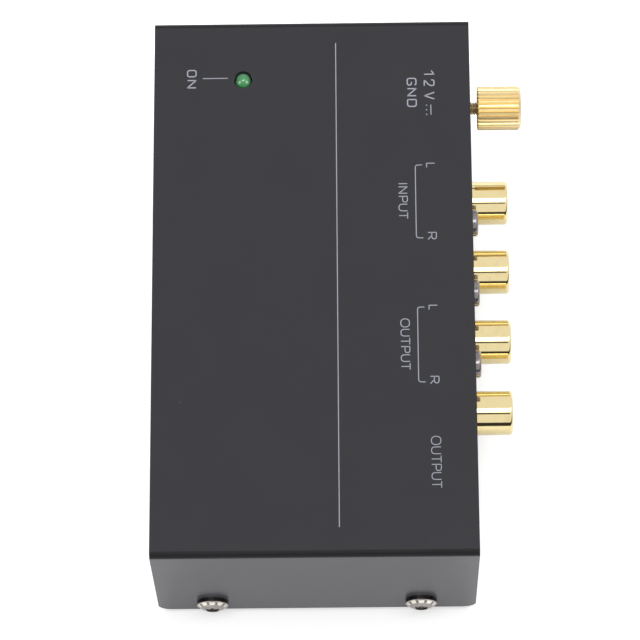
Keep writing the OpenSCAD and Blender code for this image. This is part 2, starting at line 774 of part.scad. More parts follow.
// One centre contact: a tube slotted into four fingers, closed behind, with a tail
module socket_contact(i) {
    mouth = insert_face - contact_inset;
    slot_l = mouth + 2.5;
    color([0.86, 0.7, 0.33])
    at_socket(i) {
        facing_rear() difference() {
            union() {
                translate([0, 0, -contact_depth - contact_back_t])
                    cylinder(r = contact_r, h = mouth + contact_depth + contact_back_t);
                translate([0, 0, contact_tail_back + tail_t / 2])
                    cylinder(r = contact_stem_r, h = 2);
            }
            translate([0, 0, -contact_depth]) cylinder(r = contact_in_r, h = mouth + contact_depth + 1);
            for (a = [45, 135])
                rotate(a) translate([-contact_r - 1, -contact_slot_w / 2, mouth - slot_l])
                    cube([2 * contact_r + 2, contact_slot_w, slot_l + 1]);
        }
        block([-tail_w / 2, contact_tail_back, lead_end_z - socket_z],
            [tail_w / 2, contact_tail_back + tail_t, contact_stem_r]);
    }
}

// Three pan-head screws through the rear panel into the housing's ears
module socket_screws() {
    color([0.62, 0.6, 0.57])
    for (i = [0:2])
        at_socket(i + 0.5) translate([0, sheet_t, socket_screw_rise]) facing_rear()
            difference() {
                union() {
                    pan_head(socket_head_d, socket_head_h, 0.5);
                    translate([0, 0, -socket_screw_l]) cylinder(d = m3_d, h = socket_screw_l + 0.1);
                }
                translate([0, 0, socket_head_h]) cross_recess(2.9, screw_recess_depth);
            }
}

// ---------- output jack ----------

// The housing: a snout in the panel, a solid front round the sleeve, and a cavity open above
module jack_housing() {
    below = out_z - board_top;
    color([0.06, 0.06, 0.065])
    translate([out_x, panel_in_y, out_z]) difference() {
        union() {
            block([-out_w / 2, -out_d, -below], [out_w / 2, 0, out_top_h]);
            facing_rear() translate([0, 0, -over]) cylinder(d = out_snout_d, h = out_face + 1);
        }
        translate([0, -out_d + out_wall - 0.4, 0]) facing_rear()
            cylinder(r = out_bore_r + 0.25, h = out_d + out_face + 1);
        translate([0, out_face - out_sleeve_l - 0.5, 0]) facing_rear()
            cylinder(r = out_bore_r + out_sleeve_wall + press_fit, h = out_sleeve_l + 1.5);
        block([-out_cavity_half_w, -out_d + out_wall, out_cavity_floor],
            [out_cavity_half_w, -out_front_t, out_top_h + 1]);
        block([-tag_w / 2 - loose_fit, -out_sleeve_l + tag_t / 2 - loose_fit, -below - 1],
            [tag_w / 2 + loose_fit, -out_sleeve_l + 1.5 * tag_t + loose_fit, 0]);
        for (side = [-1, 1])
            translate([side * leaf_root_x, leaf_root_y + tag_from_root, 0])
                block([-tag_t / 2 - loose_fit, -tag_w / 2 - loose_fit, -below - 1],
                    [tag_t / 2 + loose_fit, tag_w / 2 + loose_fit, 0]);
    }
}

// The sleeve contact: a metal bush in the snout that guides the plug
module jack_sleeve() {
    color([0.8, 0.79, 0.76])
    translate([out_x, panel_in_y + out_face - out_sleeve_l, out_z]) facing_rear()
        ring(out_bore_r + out_sleeve_wall, out_bore_r, out_sleeve_l - 0.2);
}

// A leaf spring seen from above: from its root at [0, 0] it runs along +Y and bends to a bulge
module leaf_outline(reach, offset, tail, flare, t) {
    bend = reach * 0.55;
    segment([0, 0], [0, bend], t);
    segment([0, bend], [offset, reach], t);
    segment([offset, reach], [offset - flare, reach + tail], t);
}

// A straight strip with round ends between two points
module segment(a, b, t) {
    run = b - a;
    translate(a) circle(d = t);
    translate(b) circle(d = t);
    translate(a) rotate(atan2(run[1], run[0])) translate([0, -t / 2]) square([norm(run), t]);
}

// One of the jack's two leaf springs; side is -1 for the ring and 1 for the tip
module jack_leaf(side, reach) {
    bulge_x = out_plug_d / 2 - out_leaf_bite + leaf_t / 2;
    leaf_reach = leaf_root_y - (out_face - reach);
    color([0.84, 0.8, 0.7])
    translate([out_x + side * leaf_root_x, panel_in_y + leaf_root_y, out_z - leaf_h / 2])
        linear_extrude(leaf_h) mirror([0, 1]) mirror([side > 0 ? 1 : 0, 0])
            leaf_outline(leaf_reach, leaf_root_x - bulge_x, leaf_tail, leaf_flare, leaf_t);
}

// The spring that touches the plug's ring
module jack_ring_spring() {
    jack_leaf(-1, out_ring_reach);
}

// The spring that touches the plug's tip
module jack_tip_spring() {
    jack_leaf(1, out_tip_reach);
}

// The three fixed tags: one at each spring's root and one under the sleeve
module jack_tags() {
    color([0.8, 0.79, 0.76])
    translate([out_x, panel_in_y, 0]) {
        for (side = [-1, 1])
            translate([side * leaf_root_x, leaf_root_y + tag_from_root, 0])
                block([-tag_t / 2, -tag_w / 2, lead_end_z], [tag_t / 2, tag_w / 2, out_z + leaf_h / 2]);
        block([-tag_w / 2, -out_sleeve_l + tag_t / 2, lead_end_z],
            [tag_w / 2, -out_sleeve_l + 1.5 * tag_t, out_z - out_bore_r - out_sleeve_wall - press_fit]);
    }
}

// ---------- power jack ----------

// The housing: a tall front block, a lower rounded body, and a snout in the panel
module power_jack_housing() {
    below = dc_z - board_top;
    color([0.06, 0.06, 0.065])
    translate([dc_x, panel_in_y, dc_z]) difference() {
        union() {
            block([-dc_w / 2, -dc_front_d, -below], [dc_w / 2, 0, dc_top_h]);
            block([-dc_w / 2, -dc_d, -below], [dc_w / 2, 0, 0]);
            translate([0, -dc_d, 0]) facing_rear() cylinder(d = dc_w - 0.4, h = dc_d);
            facing_rear() translate([0, 0, -over]) cylinder(d = dc_snout_d, h = sheet_t + 1);
        }
        translate([0, -dc_bore_depth, 0]) facing_rear()
            cylinder(d = dc_bore_d, h = dc_bore_depth + sheet_t + 1);
        translate([0, -dc_d - 1, 0]) facing_rear()
            cylinder(d = dc_pin_d + 2 * press_fit, h = dc_d);
        block([-dc_w / 2 + 0.5, dc_leaf_root_y - dc_tag_from_root - dc_tag_w / 2 - loose_fit,
            -dc_slot_half_h], [0, -dc_front_d - 0.4, dc_slot_half_h]);
        translate([-dc_leaf_root_x, dc_leaf_root_y - dc_tag_from_root, 0])
            block([-tag_t / 2 - loose_fit, -dc_tag_w / 2 - loose_fit, -below - 1],
                [tag_t / 2 + loose_fit, dc_tag_w / 2 + loose_fit, 0]);
    }
}

// The centre pin with its domed tip and its tag behind the housing
module power_jack_pin() {
    pin_r = dc_pin_d / 2;
    tip = sheet_t - dc_pin_inset;
    color([0.8, 0.79, 0.76])
    translate([dc_x, panel_in_y, dc_z]) {
        facing_rear() {
            translate([0, 0, -dc_d - tag_t]) cylinder(r = pin_r, h = dc_d + tag_t + tip - pin_r);
            translate([0, 0, tip - pin_r]) sphere(pin_r);
        }
        block([-tag_w / 2, -dc_d - tag_t, lead_end_z - dc_z], [tag_w / 2, -dc_d, 1.6]);
    }
}

// The leaf spring that touches the plug's barrel
module power_jack_spring() {
    bulge_x = dc_plug_d / 2 - dc_leaf_bite + dc_leaf_t / 2;
    color([0.84, 0.8, 0.7])
    translate([dc_x - dc_leaf_root_x, panel_in_y + dc_leaf_root_y, dc_z - dc_leaf_h / 2])
        linear_extrude(dc_leaf_h)
            leaf_outline(dc_leaf_reach, dc_leaf_root_x - bulge_x, dc_leaf_tail, dc_leaf_flare,
                dc_leaf_t);
}

// The fixed tag at that spring's root
module power_jack_tag() {
    color([0.8, 0.79, 0.76])
    translate([dc_x - dc_leaf_root_x, panel_in_y + dc_leaf_root_y - dc_tag_from_root, 0])
        block([-tag_t / 2, -dc_tag_w / 2, lead_end_z],
            [tag_t / 2, dc_tag_w / 2, dc_z + dc_leaf_h / 2]);
}

// ---------- ground terminal ----------

// The knurled head: a chamfered cylinder with V grooves and a blind bore for the shank
module ground_knob() {
    knob_r = knob_d / 2;
    half_angle = atan2(knurl_w / 2, knurl_depth);
    color([0.93, 0.76, 0.36])
    translate([dc_x, knob_inner_y, ground_z]) facing_rear() difference() {
        rotate_extrude() polygon([
            [0, 0], [knob_r - 0.15, 0], [knob_r, 0.15], [knob_r, knob_l - knob_chamfer],
            [knob_r - knob_chamfer, knob_l], [0, knob_l]
        ]);
        for (k = [0:knurl_n - 1])
            rotate(k * 360 / knurl_n) translate([knob_r - knurl_depth, 0, -over])
                linear_extrude(knob_l + 2 * over)
                    polygon([[0, 0], [1, tan(half_angle)], [1, -tan(half_angle)]]);
        translate([0, 0, -over])
            cylinder(d = ground_d + 2 * thread_fit, h = ground_grip_l + 1.1);
    }
}

// The shank: from inside the head, through the panel and the nut, with a chamfered end
module ground_shank() {
    shank_r = ground_d / 2;
    whole_l = ground_shank_l + ground_grip_l;
    color([0.9, 0.73, 0.34])
    translate([dc_x, knob_inner_y - ground_shank_l, ground_z]) facing_rear()
        rotate_extrude() polygon([
            [0, 0], [shank_r - 0.35, 0], [shank_r, 0.35], [shank_r, whole_l], [0, whole_l]
        ]);
}

// The lock washer: a thin ring with slots round its edge
module ground_washer() {
    color([0.75, 0.74, 0.71])
    translate([dc_x, washer_back, ground_z]) facing_rear() difference() {
        ring(washer_d / 2, ground_d / 2 + loose_fit, washer_t);
        for (a = [0:30:330])
            rotate(a) translate([washer_d / 2 - 0.7, -0.2, -over]) cube([2, 0.4, washer_t + 2]);
    }
}

// The solder lug: a ring, a tongue and a barrel crimped on the lead
module ground_lug() {
    tongue_w = 2.4;
    tongue_end = lug_barrel_x - lug_barrel_l;
    color([0.86, 0.85, 0.8])
    difference() {
        union() {
            translate([dc_x, lug_back, ground_z]) facing_rear() cylinder(d = lug_d, h = lug_t);
            block([tongue_end, lug_back, ground_z - tongue_w / 2],
                [dc_x, lug_back + lug_t, ground_z + tongue_w / 2]);
            translate([tongue_end, wire_y, ground_z]) rotate([0, 90, 0])
                cylinder(r = lug_barrel_r, h = lug_barrel_l);
            block([tongue_end, wire_y, ground_z - 0.4], [lug_barrel_x, lug_back + eps, ground_z + 0.4]);
        }
        translate([dc_x, lug_back - 1, ground_z]) facing_rear()
            cylinder(d = ground_d + 2 * loose_fit, h = lug_t + 2 * over);
        translate([tongue_end - 1, wire_y, ground_z]) rotate([0, 90, 0])
            cylinder(d = wire_d + 2 * press_fit, h = lug_barrel_l + 1.4);
    }
}

// The hex nut that the shank screws into
module ground_nut() {
    color([0.86, 0.7, 0.33])
    translate([dc_x, nut_back, ground_z]) facing_rear() difference() {
        cylinder(r = nut_af / 2 / cos(30), h = nut_t, $fn = 6);
        translate([0, 0, -over]) cylinder(d = ground_d + 2 * thread_fit, h = nut_t + 2 * over);
    }
}

// The insulated ground lead: out of the barrel, round one bend and down into the board
module ground_wire() {
    in_barrel = lug_barrel_x - lug_barrel_l + 2;
    bend_x = lug_barrel_x - lug_barrel_l;
    color([0.1, 0.42, 0.16]) {
        translate([bend_x, wire_y, ground_z]) rotate([0, 90, 0])
            cylinder(d = wire_d, h = in_barrel - bend_x);
        translate([bend_x, wire_y, ground_z - wire_bend_r]) rotate([90, 0, 0])
            rotate([0, 0, 90]) rotate_extrude(angle = 90)
                translate([wire_bend_r, 0]) circle(d = wire_d);
        translate([wire_drop_x, wire_y, lead_end_z])
            cylinder(d = wire_d, h = ground_z - wire_bend_r - lead_end_z);
    }
}

// ---------- power light ----------

// The light: a flange, a round body and a domed lens that fills the hole in the cover
module power_light() {
    lens_r = led_d / 2;
    color([0.25, 0.6, 0.32])
    translate([led_x, led_y, led_base_z]) {
        cylinder(d = led_flange_d, h = led_flange_h);
        cylinder(r = lens_r, h = led_h - lens_r);
        translate([0, 0, led_h - lens_r]) sphere(lens_r);
    }
}

// The light's two square leads, down through the spacer and the board
module power_light_leads() {
    half = led_lead_w / 2;
    color([0.8, 0.79, 0.76])
    for (side = [-1, 1])
        translate([led_x + side * led_lead_pitch / 2, led_y, 0])
            block([-half, -half, lead_end_z], [half, half, led_base_z]);
}

// The spacer that holds the light up against the cover
module light_spacer() {
    color([0.85, 0.84, 0.8])
    translate([led_x, led_y, board_top]) difference() {
        cylinder(d = spacer_d, h = led_base_z - board_top);
        for (side = [-1, 1])
            translate([side * led_lead_pitch / 2, 0, -over])
                cylinder(d = led_lead_w * 1.8, h = led_base_z - board_top + 2 * over);
    }
}

// ---------- components ----------

// Two amplifier chips, each with a notch at one end and sides that slope to its parting line
module amplifier_chips() {
    slope = 0.35;
    color([0.08, 0.08, 0.085])
    for (p = CHIPS)
        on_board(p) translate([0, 0, chip_stand]) difference() {
            rotate([90, 0, 90]) linear_extrude(chip_l, center = true) polygon([
                [slope - chip_w / 2, 0], [chip_w / 2 - slope, 0], [chip_w / 2, chip_h / 2],
                [chip_w / 2 - slope, chip_h], [slope - chip_w / 2, chip_h], [-chip_w / 2, chip_h / 2]
            ]);
            translate([-chip_l / 2, 0, chip_h - 0.6]) cylinder(r = 0.9, h = 1);
            translate([1.1 - chip_l / 2, 1.2 - chip_w / 2, chip_h - 0.15]) cylinder(r = 0.4, h = 1);
        }
}

// The chips' legs: a shoulder out of the body and a pin down through the board
module amplifier_legs() {
    shoulder_z = chip_stand + chip_h / 2 - chip_leg_t;
    color([0.8, 0.79, 0.76])
    for (p = CHIPS, side = [0, 180], k = [-1.5:1:1.5])
        on_board(p) rotate(side) translate([k * chip_pitch, 0, 0]) {
            block([-0.7, chip_w / 2, shoulder_z],
                [0.7, chip_row / 2 + chip_leg_t / 2, shoulder_z + chip_leg_t]);
            block([-0.7, chip_row / 2 - chip_leg_t / 2, 0.1],
                [0.7, chip_row / 2 + chip_leg_t / 2, shoulder_z + chip_leg_t]);
            block([-chip_leg_w / 2, chip_row / 2 - chip_leg_t / 2, -board_t - lead_out],
                [chip_leg_w / 2, chip_row / 2 + chip_leg_t / 2, 0.2]);
        }
}

// One electrolytic capacitor: a can with a crimped groove and a bevelled top, on two leads
module electrolytic(d, h) {
    r = d / 2;
    groove = 0.35;
    rotate_extrude() polygon([
        [0, 0.1], [r - 0.3, 0.1], [r, 0.4], [r, 1.4], [r - groove, 1.8], [r, 2.2],
        [r, h - 0.4], [r - 0.4, h], [r - 0.9, h], [r - 0.9, h - 0.15], [0, h - 0.15]
    ]);
    lead_pair(can_lead_pitch, 0.2);
}

// Two round leads, from a little above the board to below it
module lead_pair(pitch, rise) {
    for (side = [-1, 1])
        translate([side * pitch / 2, 0, -board_t - lead_out])
            cylinder(d = lead_d, h = board_t + lead_out + rise, $fn = 32);
}

// The small electrolytic capacitors
module electrolytic_capacitors() {
    color([0.16, 0.17, 0.22])
    for (p = CANS)
        on_board(p) electrolytic(can_d, can_h);
}

// The large capacitor that smooths the supply
module supply_capacitor() {
    color([0.16, 0.17, 0.22])
    on_board(SUPPLY_CAN) electrolytic(supply_can_d, supply_can_h);
}

// The boxed film capacitors of the equaliser
module film_capacitors() {
    color([0.68, 0.12, 0.1])
    for (p = FILMS)
        on_board(p) {
            translate([0, 0, 0.2]) linear_extrude(film_h) rounded_plate(film_l, film_w, 0.5);
            lead_pair(film_lead_pitch, 0.3);
        }
}

// A part on two bent leads: the children are its body, centred on a level axis along X
module axial_part(body_l, axis_h) {
    arm = axial_pitch / 2 - axial_bend_r;
    translate([0, 0, axis_h]) {
        children();
        for (side = [0, 180]) rotate(side) {
            translate([body_l / 2 - 0.1, 0, 0]) rotate([0, 90, 0])
                cylinder(d = lead_d, h = arm - body_l / 2 + 0.1, $fn = 32);
            translate([arm, 0, -axial_bend_r]) rotate([90, 0, 0])
                rotate_extrude(angle = 90, $fn = 32) translate([axial_bend_r, 0]) circle(d = lead_d);
            translate([axial_pitch / 2, 0, -axis_h - board_t - lead_out])
                cylinder(d = lead_d, h = axis_h + board_t + lead_out - axial_bend_r, $fn = 32);
        }
    }
}

// The resistors, each with two wider end caps
module resistors() {
    cap_l = 1.5;
    color([0.42, 0.62, 0.74])
    for (p = RESISTORS)
        on_board(p) axial_part(resistor_l, resistor_d / 2 + 0.2) {
            rotate([0, 90, 0]) cylinder(d = resistor_d - 0.4, h = resistor_l, center = true);
            for (side = [-1, 1])
                translate([side * (resistor_l - cap_l) / 2, 0, 0]) rotate([0, 90, 0])
                    cylinder(d = resistor_d, h = cap_l, center = true);
        }
}

// The diode that guards against a reversed supply
module polarity_diode() {
    color([0.1, 0.1, 0.105])
    on_board(DIODE) axial_part(diode_l, diode_d / 2 + 0.2)
        rotate([0, 90, 0]) cylinder(d = diode_d, h = diode_l, center = true);
}

// The voltage regulator: a round body with one flat side, on three leads
module voltage_regulator() {
    stand = 2;
    color([0.08, 0.08, 0.085])
    on_board(REGULATOR) {
        translate([0, 0, stand]) linear_extrude(regulator_h) intersection() {
            circle(d = regulator_d);
            translate([-regulator_d, -1.3]) square(2 * regulator_d);
        }
        for (k = [-1:1])
            translate([k * regulator_lead_pitch, 0, -board_t - lead_out])
                cylinder(d = lead_d - 0.1, h = board_t + lead_out + stand + 0.1, $fn = 32);
    }
}

WHITE = [0.9, 0.89, 0.86];
RED = [0.72, 0.08, 0.07];

top_cover();
base_chassis();
rubber_feet();
cover_screws();
circuit_board();
board_standoffs();
board_screws();
socket_housing();
socket_screws();
socket_shell(0);  // input_left_shell
socket_shell(1);  // input_right_shell
socket_shell(2);  // output_left_shell
socket_shell(3);  // output_right_shell
socket_insert(0, WHITE);  // input_left_insert
socket_insert(1, RED);  // input_right_insert
socket_insert(2, WHITE);  // output_left_insert
socket_insert(3, RED);  // output_right_insert
socket_contact(0);  // input_left_contact
socket_contact(1);  // input_right_contact
socket_contact(2);  // output_left_contact
socket_contact(3);  // output_right_contact
jack_housing();
jack_sleeve();
jack_ring_spring();
jack_tip_spring();
jack_tags();
power_jack_housing();
power_jack_pin();
power_jack_spring();
power_jack_tag();
ground_knob();
ground_shank();
ground_washer();
ground_lug();
ground_nut();
ground_wire();
power_light();
power_light_leads();
light_spacer();
amplifier_chips();
amplifier_legs();
voltage_regulator();
supply_capacitor();
electrolytic_capacitors();
film_capacitors();
resistors();
polarity_diode();
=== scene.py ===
"""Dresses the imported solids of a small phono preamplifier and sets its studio.

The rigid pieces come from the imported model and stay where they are. This file
gives each one its finish, prints the legends on the cover, cuts the thread of
the ground screw, and sets the camera, the lamps and the floor.
"""

import sys
import logging
import math
from dataclasses import dataclass, field
from enum import Enum
from typing import Any, Mapping, Sequence

import bmesh
import bpy
import numpy as np
from mathutils import Matrix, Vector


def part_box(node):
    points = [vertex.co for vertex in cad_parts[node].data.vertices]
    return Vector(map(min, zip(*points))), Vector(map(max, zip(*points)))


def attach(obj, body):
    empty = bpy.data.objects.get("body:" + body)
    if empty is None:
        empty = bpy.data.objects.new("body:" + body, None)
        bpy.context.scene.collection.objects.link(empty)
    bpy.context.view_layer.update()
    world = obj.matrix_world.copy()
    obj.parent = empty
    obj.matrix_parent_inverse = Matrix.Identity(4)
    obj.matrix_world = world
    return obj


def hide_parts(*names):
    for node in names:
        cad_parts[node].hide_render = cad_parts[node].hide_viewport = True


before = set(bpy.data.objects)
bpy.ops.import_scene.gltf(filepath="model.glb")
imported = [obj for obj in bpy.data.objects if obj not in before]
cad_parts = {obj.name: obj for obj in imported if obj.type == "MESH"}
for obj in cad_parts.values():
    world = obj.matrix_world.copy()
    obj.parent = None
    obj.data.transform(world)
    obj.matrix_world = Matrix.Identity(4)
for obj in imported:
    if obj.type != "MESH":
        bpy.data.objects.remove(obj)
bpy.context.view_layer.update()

MM = 0.001
TOP_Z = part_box("top_cover")[1][2] / MM
# Where a finish holds a pair, it is mostly the two ends of a smooth step: where it is 0, then 1.
Pair = tuple[float, float]
Triple = tuple[float, float, float]
Colour = Triple
log = logging.getLogger("preamp")


# ---------------------------------------------------------------- shader maths


class Link:
    """An output socket of a shader, with the arithmetic that the finishes use."""

    def __init__(self, shader: "Shader", socket: bpy.types.NodeSocket) -> None:
        """Keeps the shader and the socket."""
        self.shader = shader
        self.socket = socket

    def __add__(self, other: "Operand") -> "Link":
        """Adds a value."""
        return self.shader.maths("ADD", self, other)

    def __sub__(self, other: "Operand") -> "Link":
        """Takes a value away."""
        return self.shader.maths("SUBTRACT", self, other)

    def __rsub__(self, other: "Operand") -> "Link":
        """Takes this value away from another."""
        return self.shader.maths("SUBTRACT", other, self)

    def __mul__(self, other: "Operand") -> "Link":
        """Multiplies by a value."""
        return self.shader.maths("MULTIPLY", self, other)

    def __truediv__(self, other: "Operand") -> "Link":
        """Divides by a value."""
        return self.shader.maths("DIVIDE", self, other)

    def __pow__(self, other: "Operand") -> "Link":
        """Raises to a power."""
        return self.shader.maths("POWER", self, other)

    __radd__ = __add__
    __rmul__ = __mul__


Operand = Link | float


class Shader:
    """The node tree of one material or of the world, written as expressions."""

    layer_share = 0.55

    def __init__(self, tree: bpy.types.NodeTree) -> None:
        """Starts from an empty tree.

        Args:
            tree: The tree of a material or of a world.
        """
        self.tree = tree
        tree.nodes.clear()
        self.coordinates: bpy.types.Node | None = None

    def node(
        self,
        kind: str,
        settings: Mapping[str, Any] | None = None,
        inputs: Mapping[str | int, Any] | None = None,
    ) -> bpy.types.Node:
        """Makes any node.

        Args:
            kind: The node's type, without its ShaderNode prefix.
            settings: Properties, set before the sockets.
            inputs: Values or links by the socket's name or number.

        Returns:
            The new node.
        """
        made = self.tree.nodes.new("ShaderNode" + kind)
        for key, value in (settings or {}).items():
            setattr(made, key, value)
        for key, value in (inputs or {}).items():
            socket = made.inputs[key]
            if isinstance(value, Link):
                self.tree.links.new(value.socket, socket)
            elif isinstance(value, tuple) and socket.type == "RGBA":
                socket.default_value = (*value, 1.0)
            else:
                socket.default_value = value
        return made

    def out(self, made: bpy.types.Node, socket: str | int = 0) -> Link:
        """Gives one output of a node as a link."""
        return Link(self, made.outputs[socket])

    def maths(self, operation: str, *values: Operand, clamp: bool = False) -> Link:
        """Adds a Math node on up to three values."""
        settings = {"operation": operation, "use_clamp": clamp}
        return self.out(self.node("Math", settings, dict(enumerate(values))))

    def mix(self, share: Operand, first: "Link | Colour", second: "Link | Colour") -> Link:
        """Mixes two colours: the second has the given share."""
        settings = {"data_type": "RGBA", "clamp_factor": True}
        return self.out(self.node("Mix", settings, {0: share, 6: first, 7: second}), 2)

    def place(self) -> Link:
        """Gives the point in the object's own coordinates.

        Returns:
            The point, in metres.
        """
        if self.coordinates is None:
            self.coordinates = self.node("TexCoord")
        return self.out(self.coordinates, "Object")

    def stretched(self, scale: Triple) -> Link:
        """Gives the point with each axis scaled by its own factor."""
        inputs = {"Vector": self.place(), "Scale": scale}
        return self.out(self.node("Mapping", {"vector_type": "POINT"}, inputs))

    def axes(self) -> tuple[Link, Link, Link]:
        """Gives the point's X, Y and Z in millimetres."""
        split = self.node("SeparateXYZ", None, {0: self.place()})
        return tuple(self.out(split, i) * (1 / MM) for i in range(3))

    def away(self, across: Link, up: Link) -> Link:
        """Gives the distance from an axis: the root of the sum of the two squares."""
        return (across ** 2.0 + up ** 2.0) ** 0.5

    def rays(self) -> tuple[Link, Link]:
        """Tells the rays apart.

        Returns:
            1 on a ray of the camera's or one through glass, and 1 on a mirrored ray.
        """
        ray = self.node("LightPath")
        seen = self.maths("MAXIMUM", self.out(ray, "Is Camera Ray"),
                          self.out(ray, "Is Transmission Ray"))
        return seen, self.out(ray, "Is Glossy Ray")

    def noise(self, size_mm: float, detail: float = 2.0) -> Link:
        """Gives smooth noise.

        Args:
            size_mm: The size of one patch.
            detail: The number of finer layers on it.

        Returns:
            A value round 0.5.
        """
        inputs = {"Vector": self.place(), "Scale": 1 / (size_mm * MM), "Detail": detail,
                  "Roughness": self.layer_share}
        return self.out(self.node("TexNoise", None, inputs), 0)

    def specks(self, spacing_mm: float, size: float, share: float) -> Link:
        """Gives sparse round specks.

        Args:
            spacing_mm: The width of one cell.
            size: The speck's radius as a share of the cell.
            share: The share of cells that have one.

        Returns:
            1 on a speck and 0 elsewhere.
        """
        cells = self.node("TexVoronoi", {"feature": "F1"},
                          {"Vector": self.place(), "Scale": 1 / (spacing_mm * MM)})
        chosen = self.node("SeparateColor", None, {0: self.out(cells, "Color")})
        near = self.maths("LESS_THAN", self.out(cells, "Distance"), size)
        return near * self.maths("LESS_THAN", self.out(chosen, 0), share)

    def step(self, value: Link, low: float, high: float) -> Link:
        """Rises smoothly with a value; it falls if low is the larger.

        Args:
            value: The value.
            low: Where the step is 0.
            high: Where the step is 1.

        Returns:
            t^2 (3 - 2t), where t is (value - low) / (high - low) kept within 0 and 1.
        """
        inputs = {"Value": value, "From Min": low, "From Max": high, "To Min": 0.0,
                  "To Max": 1.0}
        return self.out(self.node("MapRange", {"interpolation_type": "SMOOTHSTEP"}, inputs))

    def bump(self, height: Link, depth_mm: float) -> Link:
        """Turns a height of 0 to 1 into a normal, with its depth in millimetres."""
        inputs = {"Height": height, "Distance": depth_mm * MM, "Strength": 1.0}
        return self.out(self.node("Bump", None, inputs))

    def surface(self, inputs: Mapping[str, Any]) -> None:
        """Ends the tree with a Principled surface of the given inputs."""
        shaded = self.node("BsdfPrincipled", None, inputs)
        self.node("OutputMaterial", None, {"Surface": self.out(shaded)})


# -------------------------------------------------------------------- finishes


MADE: dict[str, bpy.types.Material] = {}


@dataclass(frozen=True)
class Finish:
    """A finish: two tones in patches, a roughness that wanders, and a grain.

    Every piece of the same finish shares one material.
    """

    name: str
    colour: Colour
    second: Colour
    roughness: float
    spread: float = 0.05
    patch_mm: float = 6.0
    grain_mm: float = 0.4
    grain_depth_mm: float = 0.004
    metallic: float = 0.0
    coat: float = 0.0
    coat_roughness: float = 0.06
    specular: float = 0.5
    sheen: float = 0.0
    sheen_roughness: float = 0.4
    sheen_tint: Colour = (1.0, 1.0, 1.0)
    wander: float = 0.4

    def tone(self, shader: Shader) -> Operand:
        """Gives the share of the second colour."""
        return shader.noise(self.patch_mm, detail=3.0)

    def relief(self, shader: Shader) -> Link:
        """Gives the height of the grain, 0 to 1."""
        return shader.noise(self.grain_mm)

    def colours(self, shader: Shader) -> Link:
        """Gives the colour over the surface."""
        return shader.mix(self.tone(shader), self.colour, self.second)

    def gloss(self, shader: Shader) -> Link:
        """Gives the roughness over the surface: its mean plus or minus its spread."""
        wander = shader.noise(self.patch_mm * self.wander, detail=3.0)
        return (wander - 0.5) * (2 * self.spread) + self.roughness

    def build(self) -> bpy.types.Material:
        """Makes the material, or gives the one made before.

        Returns:
            The material.
        """
        if self.name in MADE:
            return MADE[self.name]
        material = bpy.data.materials.new("finish_" + self.name)
        MADE[self.name] = material
        material.use_nodes = True
        shader = Shader(material.node_tree)
        shader.surface(self.inputs(shader))
        material.diffuse_color = (*self.colour, 1.0)
        return material

    def inputs(self, shader: Shader) -> dict[str, Any]:
        """Works out the surface.

        Args:
            shader: The material's shader.

        Returns:
            The inputs of the Principled surface, by name.
        """
        return {
            "Base Color": self.colours(shader),
            "Roughness": self.gloss(shader),
            "Metallic": self.metallic,
            "Coat Weight": self.coat,
            "Coat Roughness": self.coat_roughness,
            "Specular IOR Level": self.specular,
            "Sheen Weight": self.sheen,
            "Sheen Roughness": self.sheen_roughness,
            "Sheen Tint": self.sheen_tint,
            "Normal": shader.bump(self.relief(shader), self.grain_depth_mm),
        }


@dataclass(frozen=True)
class PowderCoat(Finish):
    """Matt powder paint: an orange-peel skin, faint clouds and a few specks of dust."""

    spread: float = 0.04
    grain_mm: float = 0.35
    grain_depth_mm: float = 0.006
    specular: float = 0.30
    sheen: float = 0.30
    sheen_tint: Colour = (0.9, 0.9, 1.0)
    peel: float = 0.75
    clouds: float = 0.6
    mottle_mm: float = 0.25
    dust: Colour = (0.16, 0.16, 0.165)
    dust_mm: float = 2.6
    dust_size: float = 0.03
    dust_share: float = 0.05
    dust_cover: float = 0.8

    def relief(self, shader: Shader) -> Link:
        """Adds a grit four times finer to the orange peel, which keeps its own share."""
        grit = shader.noise(self.grain_mm / 4, detail=1.0)
        return shader.noise(self.grain_mm, detail=1.0) * self.peel + grit * (1 - self.peel)

    def tone(self, shader: Shader) -> Operand:
        """Gives clouds, which keep their own share, with a finer mottle on them."""
        mottle = shader.noise(self.mottle_mm, detail=1.0)
        return shader.noise(self.patch_mm) * self.clouds + mottle * (1 - self.clouds)

    def colours(self, shader: Shader) -> Link:
        """Lays the dust over the two tones."""
        specks = shader.specks(self.dust_mm, self.dust_size, self.dust_share)
        return shader.mix(specks * self.dust_cover, super().colours(shader), self.dust)


@dataclass(frozen=True)
class FoldedCoat(PowderCoat):
    """The cover's coat: duller along its two folds, where hands rub it, with painted shade there.
    """

    end_mm: float = 53.0
    top_mm: float = 35.5
    fold_mm: float = 1.4
    blur_mm: Pair = (0.05, 0.35)
    rubbed: float = 0.62
    # The colour of the painted shade along the folds.
    shade: Colour = (0.005, 0.005, 0.006)

    def fold(self, shader: Shader) -> Link:
        """Finds the folds: far enough along X and high enough at once.

        Args:
            shader: The material's shader.

        Returns:
            1 on the round of a fold and 0 on the flat faces.
        """
        x, _, z = shader.axes()
        near, far = self.blur_mm
        side, rise = self.end_mm - self.fold_mm, self.top_mm - self.fold_mm
        along = shader.step(shader.maths("ABSOLUTE", x), side + near, side + far)
        return along * shader.step(z, rise + near, rise + far)

    def colours(self, shader: Shader) -> Link:
        """Paints shade on the coat along the folds."""
        return shader.mix(self.fold(shader), super().colours(shader), self.shade)

    def gloss(self, shader: Shader) -> Link:
        """Roughens the coat along the folds."""
        base = super().gloss(shader)
        return base + self.fold(shader) * (self.rubbed - self.roughness)


